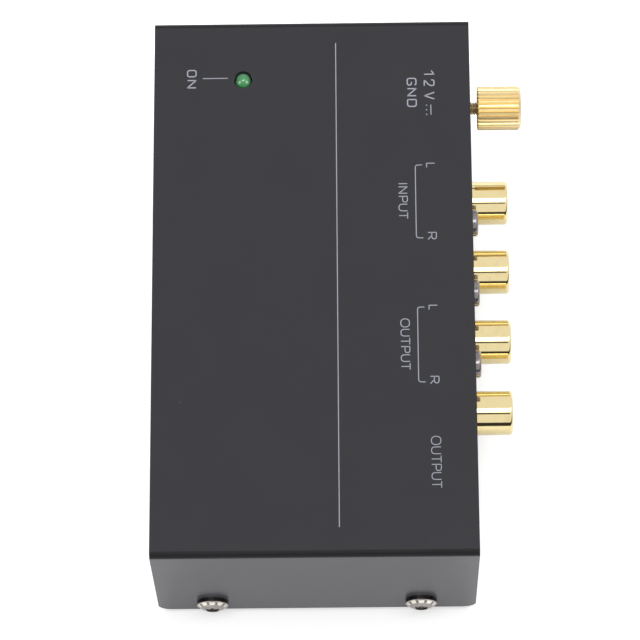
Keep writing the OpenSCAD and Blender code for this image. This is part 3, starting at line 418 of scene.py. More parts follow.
@dataclass(frozen=True)
class Plating(Finish):
    """Bright plated metal with tool marks that run round or along the piece."""

    metallic: float = 1.0
    marks: Triple = (60.0, 2500.0, 60.0)
    tarnish: float = 0.5
    patches: Pair = (0.4, 0.8)

    def relief(self, shader: Shader) -> Link:
        """Gives fine marks: noise squeezed along one axis and stretched along the others."""
        inputs = {"Vector": shader.stretched(self.marks), "Scale": 1.0, "Detail": 3.0}
        return shader.out(shader.node("TexNoise", None, inputs), 0)

    def tone(self, shader: Shader) -> Operand:
        """Gives the share of tarnish: blurred patches, kept below a limit."""
        return shader.step(shader.noise(self.patch_mm, detail=3.0), *self.patches) * self.tarnish


@dataclass(frozen=True)
class Nickel(Plating):
    """Nickel plating on screws and spacers, tarnished in small patches."""

    spread: float = 0.08
    patch_mm: float = 0.9
    grain_depth_mm: float = 0.003
    marks: Triple = (900.0, 900.0, 900.0)
    tarnish: float = 0.8


@dataclass(frozen=True)
class EndScrewNickel(Nickel):
    """Nickel screws: painted shade round the foot, against the panel; painted highlights on the
    shoulder.
    """

    panel_mm: float = 53.0
    foot_mm: float = 0.75
    foot_blur_mm: float = 0.05
    # The colour of the painted shade round the foot, and of the painted dark reflections between
    # the highlights.
    dark: Colour = (0.035, 0.03, 0.03)
    foot_shade_share: float = 0.95
    axis: Pair = (19.5, 7.0)
    # How many painted highlights run round the head.
    painted_glints: float = 10.0
    shoulder: Pair = (2.15, 2.8)
    shoulder_blur_mm: Pair = (0.12, 0.1)
    crest: Pair = (-0.55, 0.0)
    dark_reflection: Pair = (-0.65, -0.95)
    dark_reflection_share: float = 0.6
    # The colour of the painted highlights.
    bright: Colour = (0.98, 0.93, 0.84)
    glint_patch_mm: float = 0.7
    glint_strength: Pair = (0.35, 0.9)

    def paint_glints(self, shader: Shader) -> tuple[Link, Link]:
        """Paints highlights on the shoulder, with painted dark reflections between them, as waves
        round the head's shoulder.

        A wave runs round the screw's axis, with one crest for each highlight. The highlights are
        where it is high and the dark reflections where it is low, both only on the shoulder's
        ring.

        Args:
            shader: The material's shader.

        Returns:
            The share of painted highlight and the share of painted dark reflection.
        """
        _, y, z = shader.axes()
        across = shader.maths("ABSOLUTE", y) - self.axis[0]
        up = z - self.axis[1]
        out = shader.away(across, up)
        wave = shader.maths("COSINE", shader.maths("ARCTAN2", across, up) * self.painted_glints)
        (inner, outer), (rise, blur) = self.shoulder, self.shoulder_blur_mm
        ring = shader.step(out, inner, inner + rise) * shader.step(out, outer + blur, outer - blur)
        return shader.step(wave, *self.crest) * ring, shader.step(wave, *self.dark_reflection) * ring

    def colours(self, shader: Shader) -> Link:
        """Paints shade on the foot, from the panel's face outwards, and paints highlights on the
        shoulder.

        Args:
            shader: The material's shader.

        Returns:
            The colour over the screws.
        """
        x, _, _ = shader.axes()
        proud = shader.maths("ABSOLUTE", x) - self.panel_mm
        blur = self.foot_blur_mm
        foot = shader.step(proud, self.foot_mm + blur, self.foot_mm - blur)
        painted_glints, dark_reflections = self.paint_glints(shader)
        least, more = self.glint_strength
        # Noise makes the painted highlights uneven.
        glint_level = shader.noise(self.glint_patch_mm) * more + least
        colour = shader.mix(painted_glints * glint_level, super().colours(shader), self.bright)
        # Painted dark reflections between the highlights.
        colour = shader.mix(dark_reflections * self.dark_reflection_share, colour, self.dark)
        # Painted shade round the foot, against the panel.
        share = foot * shader.step(proud, -blur, 0.0) * self.foot_shade_share
        return shader.mix(share, colour, self.dark)


@dataclass(frozen=True)
class ThreadPlating(Plating):
    """Plated thread: the plating's own colour on the crests, and painted shade down in the roots.
    """

    axis_x_mm: float = 0.0
    axis_z_mm: float = 0.0
    crest_mm: float = 1.0
    depth_mm: float = 0.2
    # The share of the depth below the crests that stays without painted shade.
    unshaded_share: float = 0.6
    # The colour of the painted shade in the roots.
    root_shade: Colour = (0.30, 0.19, 0.09)
    root_shade_share: float = 0.9

    def colours(self, shader: Shader) -> Link:
        """Paints shade on the plating by how far below the crests a point lies.

        Args:
            shader: The material's shader.

        Returns:
            The colour over the thread.
        """
        x, _, z = shader.axes()
        out = shader.away(x - self.axis_x_mm, z - self.axis_z_mm)
        root = shader.step(out, self.crest_mm - self.depth_mm * self.unshaded_share,
                           self.crest_mm - self.depth_mm)
        return shader.mix(root * self.root_shade_share, super().colours(shader), self.root_shade)


@dataclass(frozen=True)
class Moulding(Finish):
    """Moulded plastic or rubber with a spark-eroded grain and a few paler scuffs."""

    scuff: float = 0.25
    scuff_detail: float = 8.0
    patches: Pair = (0.5, 0.75)

    def tone(self, shader: Shader) -> Operand:
        """Gives scuffs where two layers of noise are both high."""
        patches = shader.step(shader.noise(self.patch_mm, detail=3.0), *self.patches)
        return patches * shader.noise(self.patch_mm / self.scuff_detail) * (2 * self.scuff)


@dataclass(frozen=True)
class Lens(Finish):
    """The tinted lens of the light: deep green, with painted light on one side and three painted
    highlights.
    """

    coat: float = 0.6
    grain_mm: float = 0.8
    grain_depth_mm: float = 0.01
    middle: Pair = (0.0, 0.0)
    radius_mm: float = 1.5
    # Where the painted light sits beside the middle, in millimetres.
    lit_side: Pair = (0.9, 0.3)
    lit_side_reach: Pair = (1.55, 0.5)
    cloud_mm: float = 0.9
    cloud_share: float = 0.7
    # The colour of the painted light on the rim, on one side.
    rim: Colour = (0.16, 0.62, 0.235)
    rim_reach: Pair = (0.6, 0.9)
    rim_side_mm: Pair = (0.1, 0.8)
    rim_share: float = 0.8
    # The three painted highlights: each one's place beside the middle and its radius, in
    # millimetres.
    corners: tuple[Triple, ...] = ((0.75, -0.66, 0.25), (0.45, 0.02, 0.12), (0.68, 0.72, 0.25))
    glint_reach: Pair = (1.3, 0.5)
    glint_share: float = 0.85
    # The colour of the painted highlights.
    glint_colour: Colour = (0.55, 0.80, 0.58)

    def apart(self, shader: Shader, dx: float, dy: float) -> Link:
        """Gives the distance in millimetres from a point beside the lens's middle."""
        x, y, _ = shader.axes()
        return shader.away(x - self.middle[0] - dx, y - self.middle[1] - dy)

    def tone(self, shader: Shader) -> Operand:
        """Paints light on one side: gives the second, paler colour round that side.

        Args:
            shader: The material's shader.

        Returns:
            1 at the lit side's own place and 0 across the lens, with a clouded border.
        """
        out = self.apart(shader, *self.lit_side) + shader.noise(self.cloud_mm) * self.cloud_share
        far, near = (self.radius_mm * share for share in self.lit_side_reach)
        return shader.step(out, far, near)

    def colours(self, shader: Shader) -> Link:
        """Paints three highlights on the lens, and painted light on its rim on one side.

        Args:
            shader: The material's shader.

        Returns:
            The colour over the lens.
        """
        x, _, _ = shader.axes()
        near, far = (self.radius_mm * share for share in self.rim_reach)
        # Painted light on the rim, on one side only.
        lit = shader.step(self.apart(shader, 0.0, 0.0), near, far)
        lit = lit * shader.step(x - self.middle[0], *self.rim_side_mm)
        colour = shader.mix(lit * self.rim_share, super().colours(shader), self.rim)
        # Three painted highlights.
        for dx, dy, radius in self.corners:
            far, near = (radius * share for share in self.glint_reach)
            spot = shader.step(self.apart(shader, dx, dy), far, near)
            colour = shader.mix(spot * self.glint_share, colour, self.glint_colour)
        return colour


@dataclass(frozen=True)
class SolderMask(Finish):
    """A circuit board's green mask over its copper tracks, bare fibre at its edges."""

    coat: float = 0.4
    grain_mm: float = 0.8
    grain_depth_mm: float = 0.01
    bottom_mm: float = 0.0
    top_mm: float = 0.0
    edge: Colour = (0.42, 0.36, 0.16)
    edge_mm: Pair = (0.03, 0.06)
    lane_mm: float = 1.27
    lane_shift: float = 0.37
    line: Pair = (0.22, 0.17)
    run_mm: float = 8.5
    run_shares: Pair = (0.45, 0.25)
    shown: float = 0.8

    def tracks(self, shader: Shader, along: Link, across: Link, share: float) -> Link:
        """Gives copper tracks that run one way.

        The lanes lie a lane's width apart. Each is cut into runs, and a run has a track
        where its own random number is below the share. The number comes from the run, the
        lane and ten times the share, so that the two ways differ.

        Args:
            shader: The material's shader.
            along: The distance along the tracks, in millimetres.
            across: The distance across them, in millimetres.
            share: The share of runs that have a track.

        Returns:
            1 on a track and 0 beside it.
        """
        lanes = across / self.lane_mm
        lane = shader.maths("FLOOR", lanes)
        off = shader.maths("ABSOLUTE", shader.maths("FRACT", lanes) - 0.5)
        run = shader.maths("FLOOR", along / self.run_mm + lane * self.lane_shift)
        cell = shader.out(shader.node("CombineXYZ", None, {0: run, 1: lane, 2: share * 10}))
        chance = shader.node("TexWhiteNoise", {"noise_dimensions": "3D"}, {"Vector": cell})
        laid = shader.maths("LESS_THAN", shader.out(chance, "Value"), share)
        return shader.step(off, *self.line) * laid

    def tone(self, shader: Shader) -> Operand:
        """Gives tracks both ways, seen paler through the mask.

        Args:
            shader: The material's shader.

        Returns:
            The share of the paler colour.
        """
        x, y, _ = shader.axes()
        often, seldom = self.run_shares
        both = shader.maths("MAXIMUM", self.tracks(shader, x, y, often),
                            self.tracks(shader, y, x, seldom))
        return both * self.shown + shader.noise(self.patch_mm) * (1 - self.shown)

    def colours(self, shader: Shader) -> Link:
        """Bares the fibre between the two faces.

        Args:
            shader: The material's shader.

        Returns:
            The colour over the board.
        """
        _, _, z = shader.axes()
        near, far = self.edge_mm
        within = shader.step(z, self.bottom_mm + near, self.bottom_mm + far)
        within = within * shader.step(z, self.top_mm - near, self.top_mm - far)
        return shader.mix(within, super().colours(shader), self.edge)


@dataclass(frozen=True)
class Banded(Finish):
    """A lacquered resistor: a pale body with coloured bands that repeat along each row."""

    coat: float = 0.4
    grain_depth_mm: float = 0.01
    first_x_mm: float = 0.0
    pitch_mm: float = 12.0
    bands: tuple[tuple[float, Colour], ...] = (
        (-2.3, (0.15, 0.05, 0.02)), (-1.1, (0.01, 0.01, 0.01)), (0.0, (0.01, 0.01, 0.01)),
        (1.1, (0.45, 0.02, 0.01)), (2.4, (0.18, 0.06, 0.02)))
    band_mm: Pair = (0.42, 0.36)
    wire: Colour = (0.72, 0.71, 0.68)
    wire_from_mm: Pair = (3.1, 3.2)

    def colours(self, shader: Shader) -> Link:
        """Lays each band at its own distance from the middle of the nearest body.

        Args:
            shader: The material's shader.

        Returns:
            The colour over the resistors and their wires.
        """
        x, _, _ = shader.axes()
        turns = (x - self.first_x_mm) / self.pitch_mm + 0.5
        along = (shader.maths("FRACT", turns) - 0.5) * self.pitch_mm
        colour = super().colours(shader)
        for middle, tint in self.bands:
            away = shader.maths("ABSOLUTE", along - middle)
            colour = shader.mix(shader.step(away, *self.band_mm), colour, tint)
        bare = shader.step(shader.maths("ABSOLUTE", along), *self.wire_from_mm)
        return shader.mix(bare, colour, self.wire)


COVER_COAT = FoldedCoat("powder_coat", (0.0175, 0.0175, 0.0215), (0.0235, 0.0235, 0.0285), 0.24,
                        patch_mm=18)
BASE_COAT = PowderCoat("base_coat", (0.0165, 0.0165, 0.0205), (0.022, 0.022, 0.027), 0.38,
                       patch_mm=14)
MIRROR_GOLD = Plating("gold_plate", (0.86, 0.725, 0.40), (0.77, 0.61, 0.29), 0.075, spread=0.03,
                      patch_mm=2.2, grain_depth_mm=0.0006)
SATIN_GOLD = Plating("gold_satin", (0.80, 0.635, 0.34), (0.68, 0.50, 0.23), 0.36, spread=0.06,
                     patch_mm=1.6, grain_depth_mm=0.003, marks=(1500.0, 2500.0, 1500.0))
CONTACT = Plating("contact_metal", (0.86, 0.66, 0.32), (0.66, 0.46, 0.2), 0.2, patch_mm=1.5,
                  grain_depth_mm=0.001)
TINNED = Plating("tinned_metal", (0.78, 0.77, 0.74), (0.52, 0.51, 0.49), 0.28, spread=0.08,
                 patch_mm=1.5, grain_depth_mm=0.002, marks=(700.0, 700.0, 700.0))
NICKEL = Nickel("screw_nickel", (0.50, 0.47, 0.445), (0.25, 0.23, 0.215), 0.2)
END_NICKEL = EndScrewNickel("end_screw_nickel", (0.46, 0.425, 0.405), (0.25, 0.23, 0.215), 0.18)
DARK_NICKEL = Nickel("screw_dark", (0.30, 0.275, 0.28), (0.15, 0.135, 0.14), 0.24)
RUBBER = Moulding("foot_rubber", (0.018, 0.018, 0.018), (0.05, 0.05, 0.048), 0.72, patch_mm=3,
                  grain_mm=0.25, grain_depth_mm=0.02)
MOULDED_BLACK = Moulding("moulded_black", (0.014, 0.014, 0.015), (0.035, 0.035, 0.036), 0.42,
                         patch_mm=5, grain_mm=0.2, grain_depth_mm=0.006)
CHIP_BLACK = Moulding("chip_black", (0.018, 0.018, 0.019), (0.04, 0.04, 0.04), 0.5, patch_mm=3,
                      grain_mm=0.15, grain_depth_mm=0.006)
INSERT_WHITE = Moulding("insert_white", (0.80, 0.79, 0.75), (0.62, 0.60, 0.55), 0.3, patch_mm=2,
                        grain_mm=0.4, grain_depth_mm=0.003, scuff=0.15)
INSERT_RED = Moulding("insert_red", (0.50, 0.012, 0.010), (0.30, 0.010, 0.008), 0.3, patch_mm=2,
                      grain_mm=0.4, grain_depth_mm=0.003, scuff=0.2)
NYLON = Moulding("spacer_nylon", (0.74, 0.72, 0.66), (0.60, 0.57, 0.50), 0.45, patch_mm=2,
                 grain_mm=0.3, grain_depth_mm=0.004, scuff=0.15)
INSULATION = Moulding("wire_green", (0.02, 0.16, 0.04), (0.05, 0.24, 0.08), 0.35, patch_mm=2,
                      grain_mm=0.3, grain_depth_mm=0.003)
CAN_SLEEVE = Moulding("can_sleeve", (0.018, 0.022, 0.05), (0.05, 0.055, 0.10), 0.28, patch_mm=4,
                      grain_mm=1.2, grain_depth_mm=0.01, coat=0.3)
FILM_RED = Moulding("film_red", (0.40, 0.03, 0.018), (0.27, 0.02, 0.012), 0.32, patch_mm=3,
                    grain_mm=0.6, grain_depth_mm=0.008, coat=0.3)
INK = Moulding("legend_ink", (0.335, 0.345, 0.40), (0.26, 0.27, 0.31), 0.55, patch_mm=0.8,
               grain_mm=0.12, grain_depth_mm=0.003, scuff=0.35)


# ----------------------------------------------------------------- mesh making


BEND_POINTS = 9
LOOP_POINTS = 48
SAME_MM = 1e-6
MERGED_M = 1e-7


@dataclass
class Surface:
    """Points and faces that grow piece by piece into one mesh, all in millimetres."""

    points: list[np.ndarray] = field(default_factory=list)
    quads: list[np.ndarray] = field(default_factory=list)
    count: int = 0

    def grid(self, points: np.ndarray, round_u: bool = False, round_v: bool = False) -> None:
        """Adds a grid of points as quads.

        Args:
            points: An array of shape (rows, columns, 3).
            round_u: Whether the last row joins the first.
            round_v: Whether the last column joins the first.
        """
        rows, columns = points.shape[:2]
        u = np.arange(rows if round_u else rows - 1)
        v = np.arange(columns if round_v else columns - 1)
        a, b = np.meshgrid(u, v, indexing="ij")
        a2, b2 = (a + 1) % rows, (b + 1) % columns
        corners = ((a, b), (a2, b), (a2, b2), (a, b2))
        quads = np.stack([row * columns + column for row, column in corners], -1)
        self.quads.append(quads.reshape(-1, 4) + self.count)
        self.points.append(points.reshape(-1, 3))
        self.count += rows * columns

    def make(self, name: str, smooth_deg: float = 35.0) -> bpy.types.Object:
        """Makes the mesh object, merges what coincides and turns the faces outwards.

        Args:
            name: The piece's name.
            smooth_deg: Edges that turn more than this stay sharp.

        Returns:
            The object, at the origin, with its place in its mesh in metres.
        """
        mesh = bpy.data.meshes.new(name)
        mesh.from_pydata(np.concatenate(self.points) * MM, [], np.concatenate(self.quads).tolist())
        shape = bmesh.new()
        shape.from_mesh(mesh)
        bmesh.ops.remove_doubles(shape, verts=shape.verts, dist=MERGED_M)
        bmesh.ops.recalc_face_normals(shape, faces=shape.faces)
        shape.to_mesh(mesh)
        shape.free()
        mesh.shade_smooth()
        mesh.set_sharp_from_angle(angle=math.radians(smooth_deg))
        made = bpy.data.objects.new(name, mesh)
        bpy.context.scene.collection.objects.link(made)
        return made


def rounded(
    points: Sequence[Pair] | np.ndarray, radius: float, closed: bool = False
) -> np.ndarray:
    """Rounds the corners of a path.

    Each corner becomes a curve that starts and ends the radius away from it, or half a
    side away where the side is shorter: start (1-t)^2 + corner 2t(1-t) + end t^2.

    Args:
        points: The corners in order.
        radius: How far from a corner its curve starts.
        closed: Whether the last corner joins the first.

    Returns:
        The path as an array of points, none of them twice in a row.
    """
    corners = np.array(points, float)
    t = np.linspace(0, 1, BEND_POINTS)[:, None]
    curves = np.repeat(corners[:, None], BEND_POINTS, 1) * 2 * t * (1 - t)
    for turn, weight in ((1, (1 - t) ** 2), (-1, t**2)):
        way = np.roll(corners, turn, 0) - corners
        length = np.linalg.norm(way, axis=1, keepdims=True)
        end = corners + way / length * np.minimum(radius, length * 0.5)
        curves = curves + end[:, None] * weight
    if not closed:
        curves[0], curves[-1] = corners[0], corners[-1]
    path = curves.reshape(-1, 2)
    apart = np.linalg.norm(np.diff(path, axis=0), axis=1) > SAME_MM
    return path[np.concatenate([[True], apart])]


def ring_path(width: float, height: float, power: float = 2.4) -> np.ndarray:
    """Gives a closed rounded loop, |x/a|^power + |y/b|^power = 1 about its middle.

    Args:
        width: Its whole size in X, which is twice a.
        height: Its whole size in Y, which is twice b.
        power: 2 for an ellipse, and more for squarer corners.

    Returns:
        The loop as an array of points, with its lowest corner at 0.
    """
    t = np.linspace(0, 2 * np.pi, LOOP_POINTS, endpoint=False)
    x = np.sign(np.cos(t)) * np.abs(np.cos(t)) ** (2 / power) * width / 2
    y = np.sign(np.sin(t)) * np.abs(np.sin(t)) ** (2 / power) * height / 2
    return np.stack([x + width / 2, y + height / 2], -1)


# -------------------------------------------------------------------- legends


class Lettering(Enum):
    """The two hands of the printed letters."""

    SQUARE = "square"
    ROUND = "round"


# A letter of a word: its sign, and its two sides as shares of the word's length.
Letter = tuple[str, float, float]
# A stroke in a box one wide and one high: its corners, how far they are rounded as a share of
# the letter's width, and whether it closes on itself.
Stroke = tuple[Sequence[Pair], float, bool]
GLYPHS: dict[Lettering, dict[str, list[Stroke]]] = {
    Lettering.ROUND: {
        "I": [([(0.5, 0), (0.5, 1)], 0, False)],
        "N": [([(0, 0), (0, 1), (1, 0), (1, 1)], 0.02, False)],
        "P": [([(0, 0), (0, 1)], 0, False),
              ([(0, 1), (1, 1), (1, 0.45), (0, 0.45)], 0.42, False)],
        "U": [([(0, 1), (0, 0), (1, 0), (1, 1)], 0.5, False)],
        "T": [([(0, 1), (1, 1)], 0, False), ([(0.5, 1), (0.5, 0)], 0, False)],
        "L": [([(0, 1), (0, 0), (1, 0)], 0.02, False)],
        "R": [([(0, 0), (0, 1)], 0, False),
              ([(0, 1), (0.92, 1), (0.92, 0.45), (0, 0.45)], 0.42, False),
              ([(0.45, 0.45), (1, 0)], 0, False)],
    },
    Lettering.SQUARE: {
        "N": [([(0, 0), (0, 1), (1, 0), (1, 1)], 0.02, False)],
        "O": [([(0, 0), (0, 1), (1, 1), (1, 0)], 0.34, True)],
        "G": [([(0.98, 0.84), (0.93, 1), (0, 1), (0, 0), (1, 0), (1, 0.47), (0.52, 0.47)],
               0.3, False)],
        "D": [([(0, 0), (0, 1)], 0, False),
              ([(0, 1), (1, 1), (1, 0), (0, 0)], 0.36, False)],
        "1": [([(0, 0.74), (0.9, 1), (0.9, 0)], 0.02, False)],
        "2": [([(0.02, 0.72), (0.02, 1), (0.98, 1), (0.98, 0.56), (0, 0), (1, 0)],
               0.32, False)],
        "V": [([(0, 1), (0.5, 0), (1, 1)], 0.02, False)],
    },
}


@dataclass(frozen=True)
class InkBox:
    """The box that a letter or a word just fills, in millimetres: its sides, foot and height."""

    left: float
    right: float
    base: float
    cap: float

    def part(self, start: float, end: float) -> "InkBox":
        """Gives the box between two shares of the length."""
        length = self.right - self.left
        return InkBox(self.left + start * length, self.left + end * length, self.base, self.cap)

    def beside(self, x: float) -> "InkBox":
        """Gives the box moved along X."""
        return InkBox(x + self.left, x + self.right, self.base, self.cap)


@dataclass
class Legend:
    """One legend: letters, rules and dots of ink on the cover's top face."""

    name: str
    ink: float = 0.17
    height: float = 0.02
    sunk: float = 0.001
    mitre: float = 0.35
    least_width: float = 0.6
    shape: Surface = field(default_factory=Surface)

    def line(self, path: np.ndarray, closed: bool = False, width: float | None = None) -> None:
        """Lays one stroke of ink along a path.

        The section is a rectangle that stands across the path: at each point the two
        sides lie half the width away along the mean normal, lengthened at a bend by
        one over the cosine of half its angle, up to the mitre's limit.

        Args:
            path: Points of the middle line, in millimetres.
            closed: Whether the path closes on itself.
            width: The stroke's width; the legend's own by default.
        """
        half = (width or self.ink) / 2
        way = (np.roll(path, -1, 0) - path) if closed else np.diff(path, axis=0)
        way = way / np.linalg.norm(way, axis=1, keepdims=True)
        into = np.roll(way, 1, 0) if closed else np.vstack([way[:1], way])
        out = way if closed else np.vstack([way, way[-1:]])
        normal_in = np.stack([-into[:, 1], into[:, 0]], -1)
        normal_out = np.stack([-out[:, 1], out[:, 0]], -1)
        mean = normal_in + normal_out
        mean = mean / np.linalg.norm(mean, axis=1, keepdims=True)
        reach = half / np.maximum(np.sum(mean * normal_in, 1, keepdims=True), self.mitre)
        left, right = path + mean * reach, path - mean * reach
        top_z, low_z = TOP_Z + self.height, TOP_Z - self.sunk
        corners = [(left, low_z), (left, top_z), (right, top_z), (right, low_z)]
        section = np.stack([np.column_stack([p, np.full(len(p), z)]) for p, z in corners], 1)
        if not closed:
            middle = section.mean(1, keepdims=True)
            section = np.concatenate([np.repeat(middle[:1], 4, 1), section,
                                      np.repeat(middle[-1:], 4, 1)], 0)
        self.shape.grid(section, round_u=closed, round_v=True)

    def letter(self, sign: str, hand: Lettering, box: InkBox) -> None:
        """Draws one letter so that its ink just fills a box.

        Args:
            sign: The letter.
            hand: The hand that it is drawn in.
            box: The box.
        """
        low = np.array([box.left, box.base]) + self.ink / 2
        size = np.array([max(box.right - box.left - self.ink, 0.0), box.cap - self.ink])
        if sign == "O" and hand is Lettering.ROUND:
            self.line(low + ring_path(size[0], size[1]), closed=True)
            return
        for corners, radius, closed in GLYPHS[hand][sign]:
            scaled = low + np.array(corners) * size
            self.line(rounded(scaled, radius * max(size[0], self.least_width), closed), closed)

    def word(self, letters: Sequence[Letter], hand: Lettering, box: InkBox) -> None:
        """Draws a word; each letter's sides are shares of the word's length."""
        for sign, start, end in letters:
            self.letter(sign, hand, box.part(start, end))

    def dot(self, x: float, y: float, size: float) -> None:
        """Puts down a round dot of ink: a stroke whose path is a loop of half its size."""
        loop = ring_path(size / 2, size / 2, 2.0) + np.array([x, y]) - size / 4
        self.line(loop, closed=True, width=size / 2)

    def print(self) -> None:
        """Makes the legend's mesh, inks it and lets it ride on the case."""
        made = self.shape.make(self.name, smooth_deg=30.0)
        dress(made, INK)
        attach(made, "case")
        report(made)


WORD_OUTPUT = (("O", 0, 0.175), ("U", 0.204, 0.350), ("T", 0.370, 0.515), ("P", 0.538, 0.672),
               ("U", 0.697, 0.842), ("T", 0.862, 1))
WORD_INPUT = (("I", 0, 0.035), ("N", 0.094, 0.296), ("P", 0.359, 0.540), ("U", 0.575, 0.784),
              ("T", 0.806, 1))
WORD_GROUND = (("G", 0, 0.267), ("N", 0.353, 0.634), ("D", 0.728, 1))
WORD_ON = (("O", 0, 0.4), ("N", 0.545, 1))


@dataclass(frozen=True)
class SocketPrint:
    """The legend of one pair of sockets: a bracket from L to R, and a word under it."""

    name: str
    left: float
    right: float
    letters: tuple[Letter, ...]
    word: InkBox
    bracket_y: Pair = (19.24, 20.53)
    bend: float = 0.55
    rule: float = 0.165
    mark_l: InkBox = InkBox(-0.42, 0.6, 21.28, 1.7)
    mark_r: InkBox = InkBox(-1.15, 0.42, 21.33, 1.72)

    def build(self) -> None:
        """Prints the bracket, its two letters and the word."""
        low, high = self.bracket_y
        legend = Legend(self.name)
        corners = [(self.left, high), (self.left, low), (self.right, low), (self.right, high)]
        legend.line(rounded(corners, self.bend), width=self.rule)
        legend.letter("L", Lettering.ROUND, self.mark_l.beside(self.left))
        legend.letter("R", Lettering.ROUND, self.mark_r.beside(self.right))
        legend.word(self.letters, Lettering.ROUND, self.word)
        legend.print()


@dataclass(frozen=True)
class CoverPrint:
    """The legends on the cover: the light, the power and ground, the sockets and the jack."""

    fine: float = 0.165
    bold: float = 0.225
    jack_ink: float = 0.15
    light: InkBox = InkBox(-43.12, -39.3, -23.62, 1.84)
    light_x: float = -41.3
    dash_y: Pair = (-20.63, -15.91)
    figures: tuple[tuple[str, InkBox], ...] = (("1", InkBox(-42.53, -41.5, 21.08, 2.06)),
                                               ("2", InkBox(-40.63, -39.2, 21.08, 2.06)),
                                               ("V", InkBox(-38.05, -36.46, 21.08, 2.06)))
    bar_x: Pair = (-35.42, -33.36)
    bar_y: float = 22.36
    dots_x: tuple[float, ...] = (-35.3, -34.37, -33.43)
    dots_y: float = 21.55
    dot: float = 0.24
    ground: InkBox = InkBox(-40.98, -34.97, 17.88, 1.86)
    rule_x: Pair = (-48.4, 47.61)
    rule_y: float = 4.52
    rule_points: int = 49
    jack: InkBox = InkBox(30.46, 40.43, 21.3, 1.87)
    sockets: tuple[SocketPrint, ...] = (
        SocketPrint("legend_input", -23.1, -8.4, WORD_INPUT, InkBox(-19.47, -12.2, 16.0, 1.77)),
        SocketPrint("legend_output", 5.35, 20.0, WORD_OUTPUT, InkBox(7.56, 17.66, 16.03, 1.77)))

    def build(self) -> None:
        """Prints every legend."""
        self.print_light()
        self.print_power()
        self.print_rule()
        for pair in self.sockets:
            pair.build()
        jack = Legend("legend_jack", self.jack_ink)
        jack.word(WORD_OUTPUT, Lettering.ROUND, self.jack)
        jack.print()

    def print_light(self) -> None:
        """Prints ON and the dash that leads to the light."""
        legend = Legend("legend_light", self.bold)
        legend.word(WORD_ON, Lettering.SQUARE, self.light)
        legend.line(np.array([(self.light_x, y) for y in self.dash_y]), width=self.fine)
        legend.print()

    def print_power(self) -> None:
        """Prints the supply's 12 V with its direct-current sign, and GND below it."""
        supply = Legend("legend_power", self.bold)
        for sign, box in self.figures:
            supply.letter(sign, Lettering.SQUARE, box)
        supply.line(np.array([(x, self.bar_y) for x in self.bar_x]), width=self.fine)
        for x in self.dots_x:
            supply.dot(x, self.dots_y, self.dot)
        supply.print()
        ground = Legend("legend_ground", self.bold)
        ground.word(WORD_GROUND, Lettering.SQUARE, self.ground)
        ground.print()

    def print_rule(self) -> None:
        """Prints the long thin rule along the cover."""
        legend = Legend("legend_rule", self.fine)
        x = np.linspace(*self.rule_x, self.rule_points)
        legend.line(np.stack([x, np.full_like(x, self.rule_y)], -1))
        legend.print()


# ------------------------------------------------------------ the ground screw


@dataclass(frozen=True)
class ThreadedShank:
    """The ground screw's shank with its real thread, in the place of the plain solid."""

    pitch: float = 0.45
    depth: float = 0.27
    rows_per_pitch: int = 12
    points_round: int = 48
    flank: float = 1.2
    crest: float = 0.1
    tip: float = 0.75

    def build(self) -> None:
        """Cuts the thread.

        The radius at angle a and length y is the crest's less the depth times a triangle
        wave of y / pitch - a / 360, clipped flat at its crest and its root. Over one pitch
        at the end it tapers to the tip's share.
        """
        low, high = (np.array(c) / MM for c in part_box("ground_shank"))
        (x0, _, z0), outer = (low + high) / 2, (high[2] - low[2]) / 2
        rows = int((high[1] - low[1]) / self.pitch * self.rows_per_pitch)
        y = np.linspace(low[1], high[1], rows)[:, None]
        angle = np.linspace(0, 2 * np.pi, self.points_round, endpoint=False)[None]
        phase = (y / self.pitch - angle / (2 * np.pi)) % 1.0
        wave = np.clip(np.abs(phase - 0.5) * 2 * self.flank - self.crest, 0, 1)
        taper = np.clip((y - low[1]) / self.pitch, 0, 1)
        radius = (outer - self.depth * wave) * (self.tip + (1 - self.tip) * taper)
        ends = np.zeros((1, self.points_round))
        radius = np.vstack([ends, radius, ends])
        y = np.vstack([y[:1], y, y[-1:]])
        points = np.stack([x0 + radius * np.cos(angle), np.broadcast_to(y, radius.shape),
                           z0 + radius * np.sin(angle)], -1)
        shape = Surface()
        shape.grid(points, round_v=True)
        made = shape.make("ground_thread", smooth_deg=50.0)
        dress(made, ThreadPlating("stud_gold", (1.0, 0.87, 0.60), (0.95, 0.80, 0.52), 0.22,
                                  spread=0.08, patch_mm=0.8, grain_depth_mm=0.002,
                                  metallic=0.85, axis_x_mm=x0, axis_z_mm=z0, crest_mm=outer,
                                  depth_mm=self.depth))
        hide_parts("ground_shank")
        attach(made, "ground_screw")
        report(made)


# -------------------------------------------------------------- dressing nodes


def dress(piece: bpy.types.Object, finish: Finish) -> None:
    """Gives a piece one finish all over."""
    piece.data.materials.clear()
    piece.data.materials.append(finish.build())


def report(piece: bpy.types.Object) -> None:
    """Logs one new piece with the number of its faces."""
    log.info("%s: %d faces", piece.name, len(piece.data.polygons))


def middle_mm(node: str) -> np.ndarray:
    """Gives the middle of a node's box, in millimetres."""
    low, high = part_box(node)
    return (np.array(low) + np.array(high)) / 2 / MM


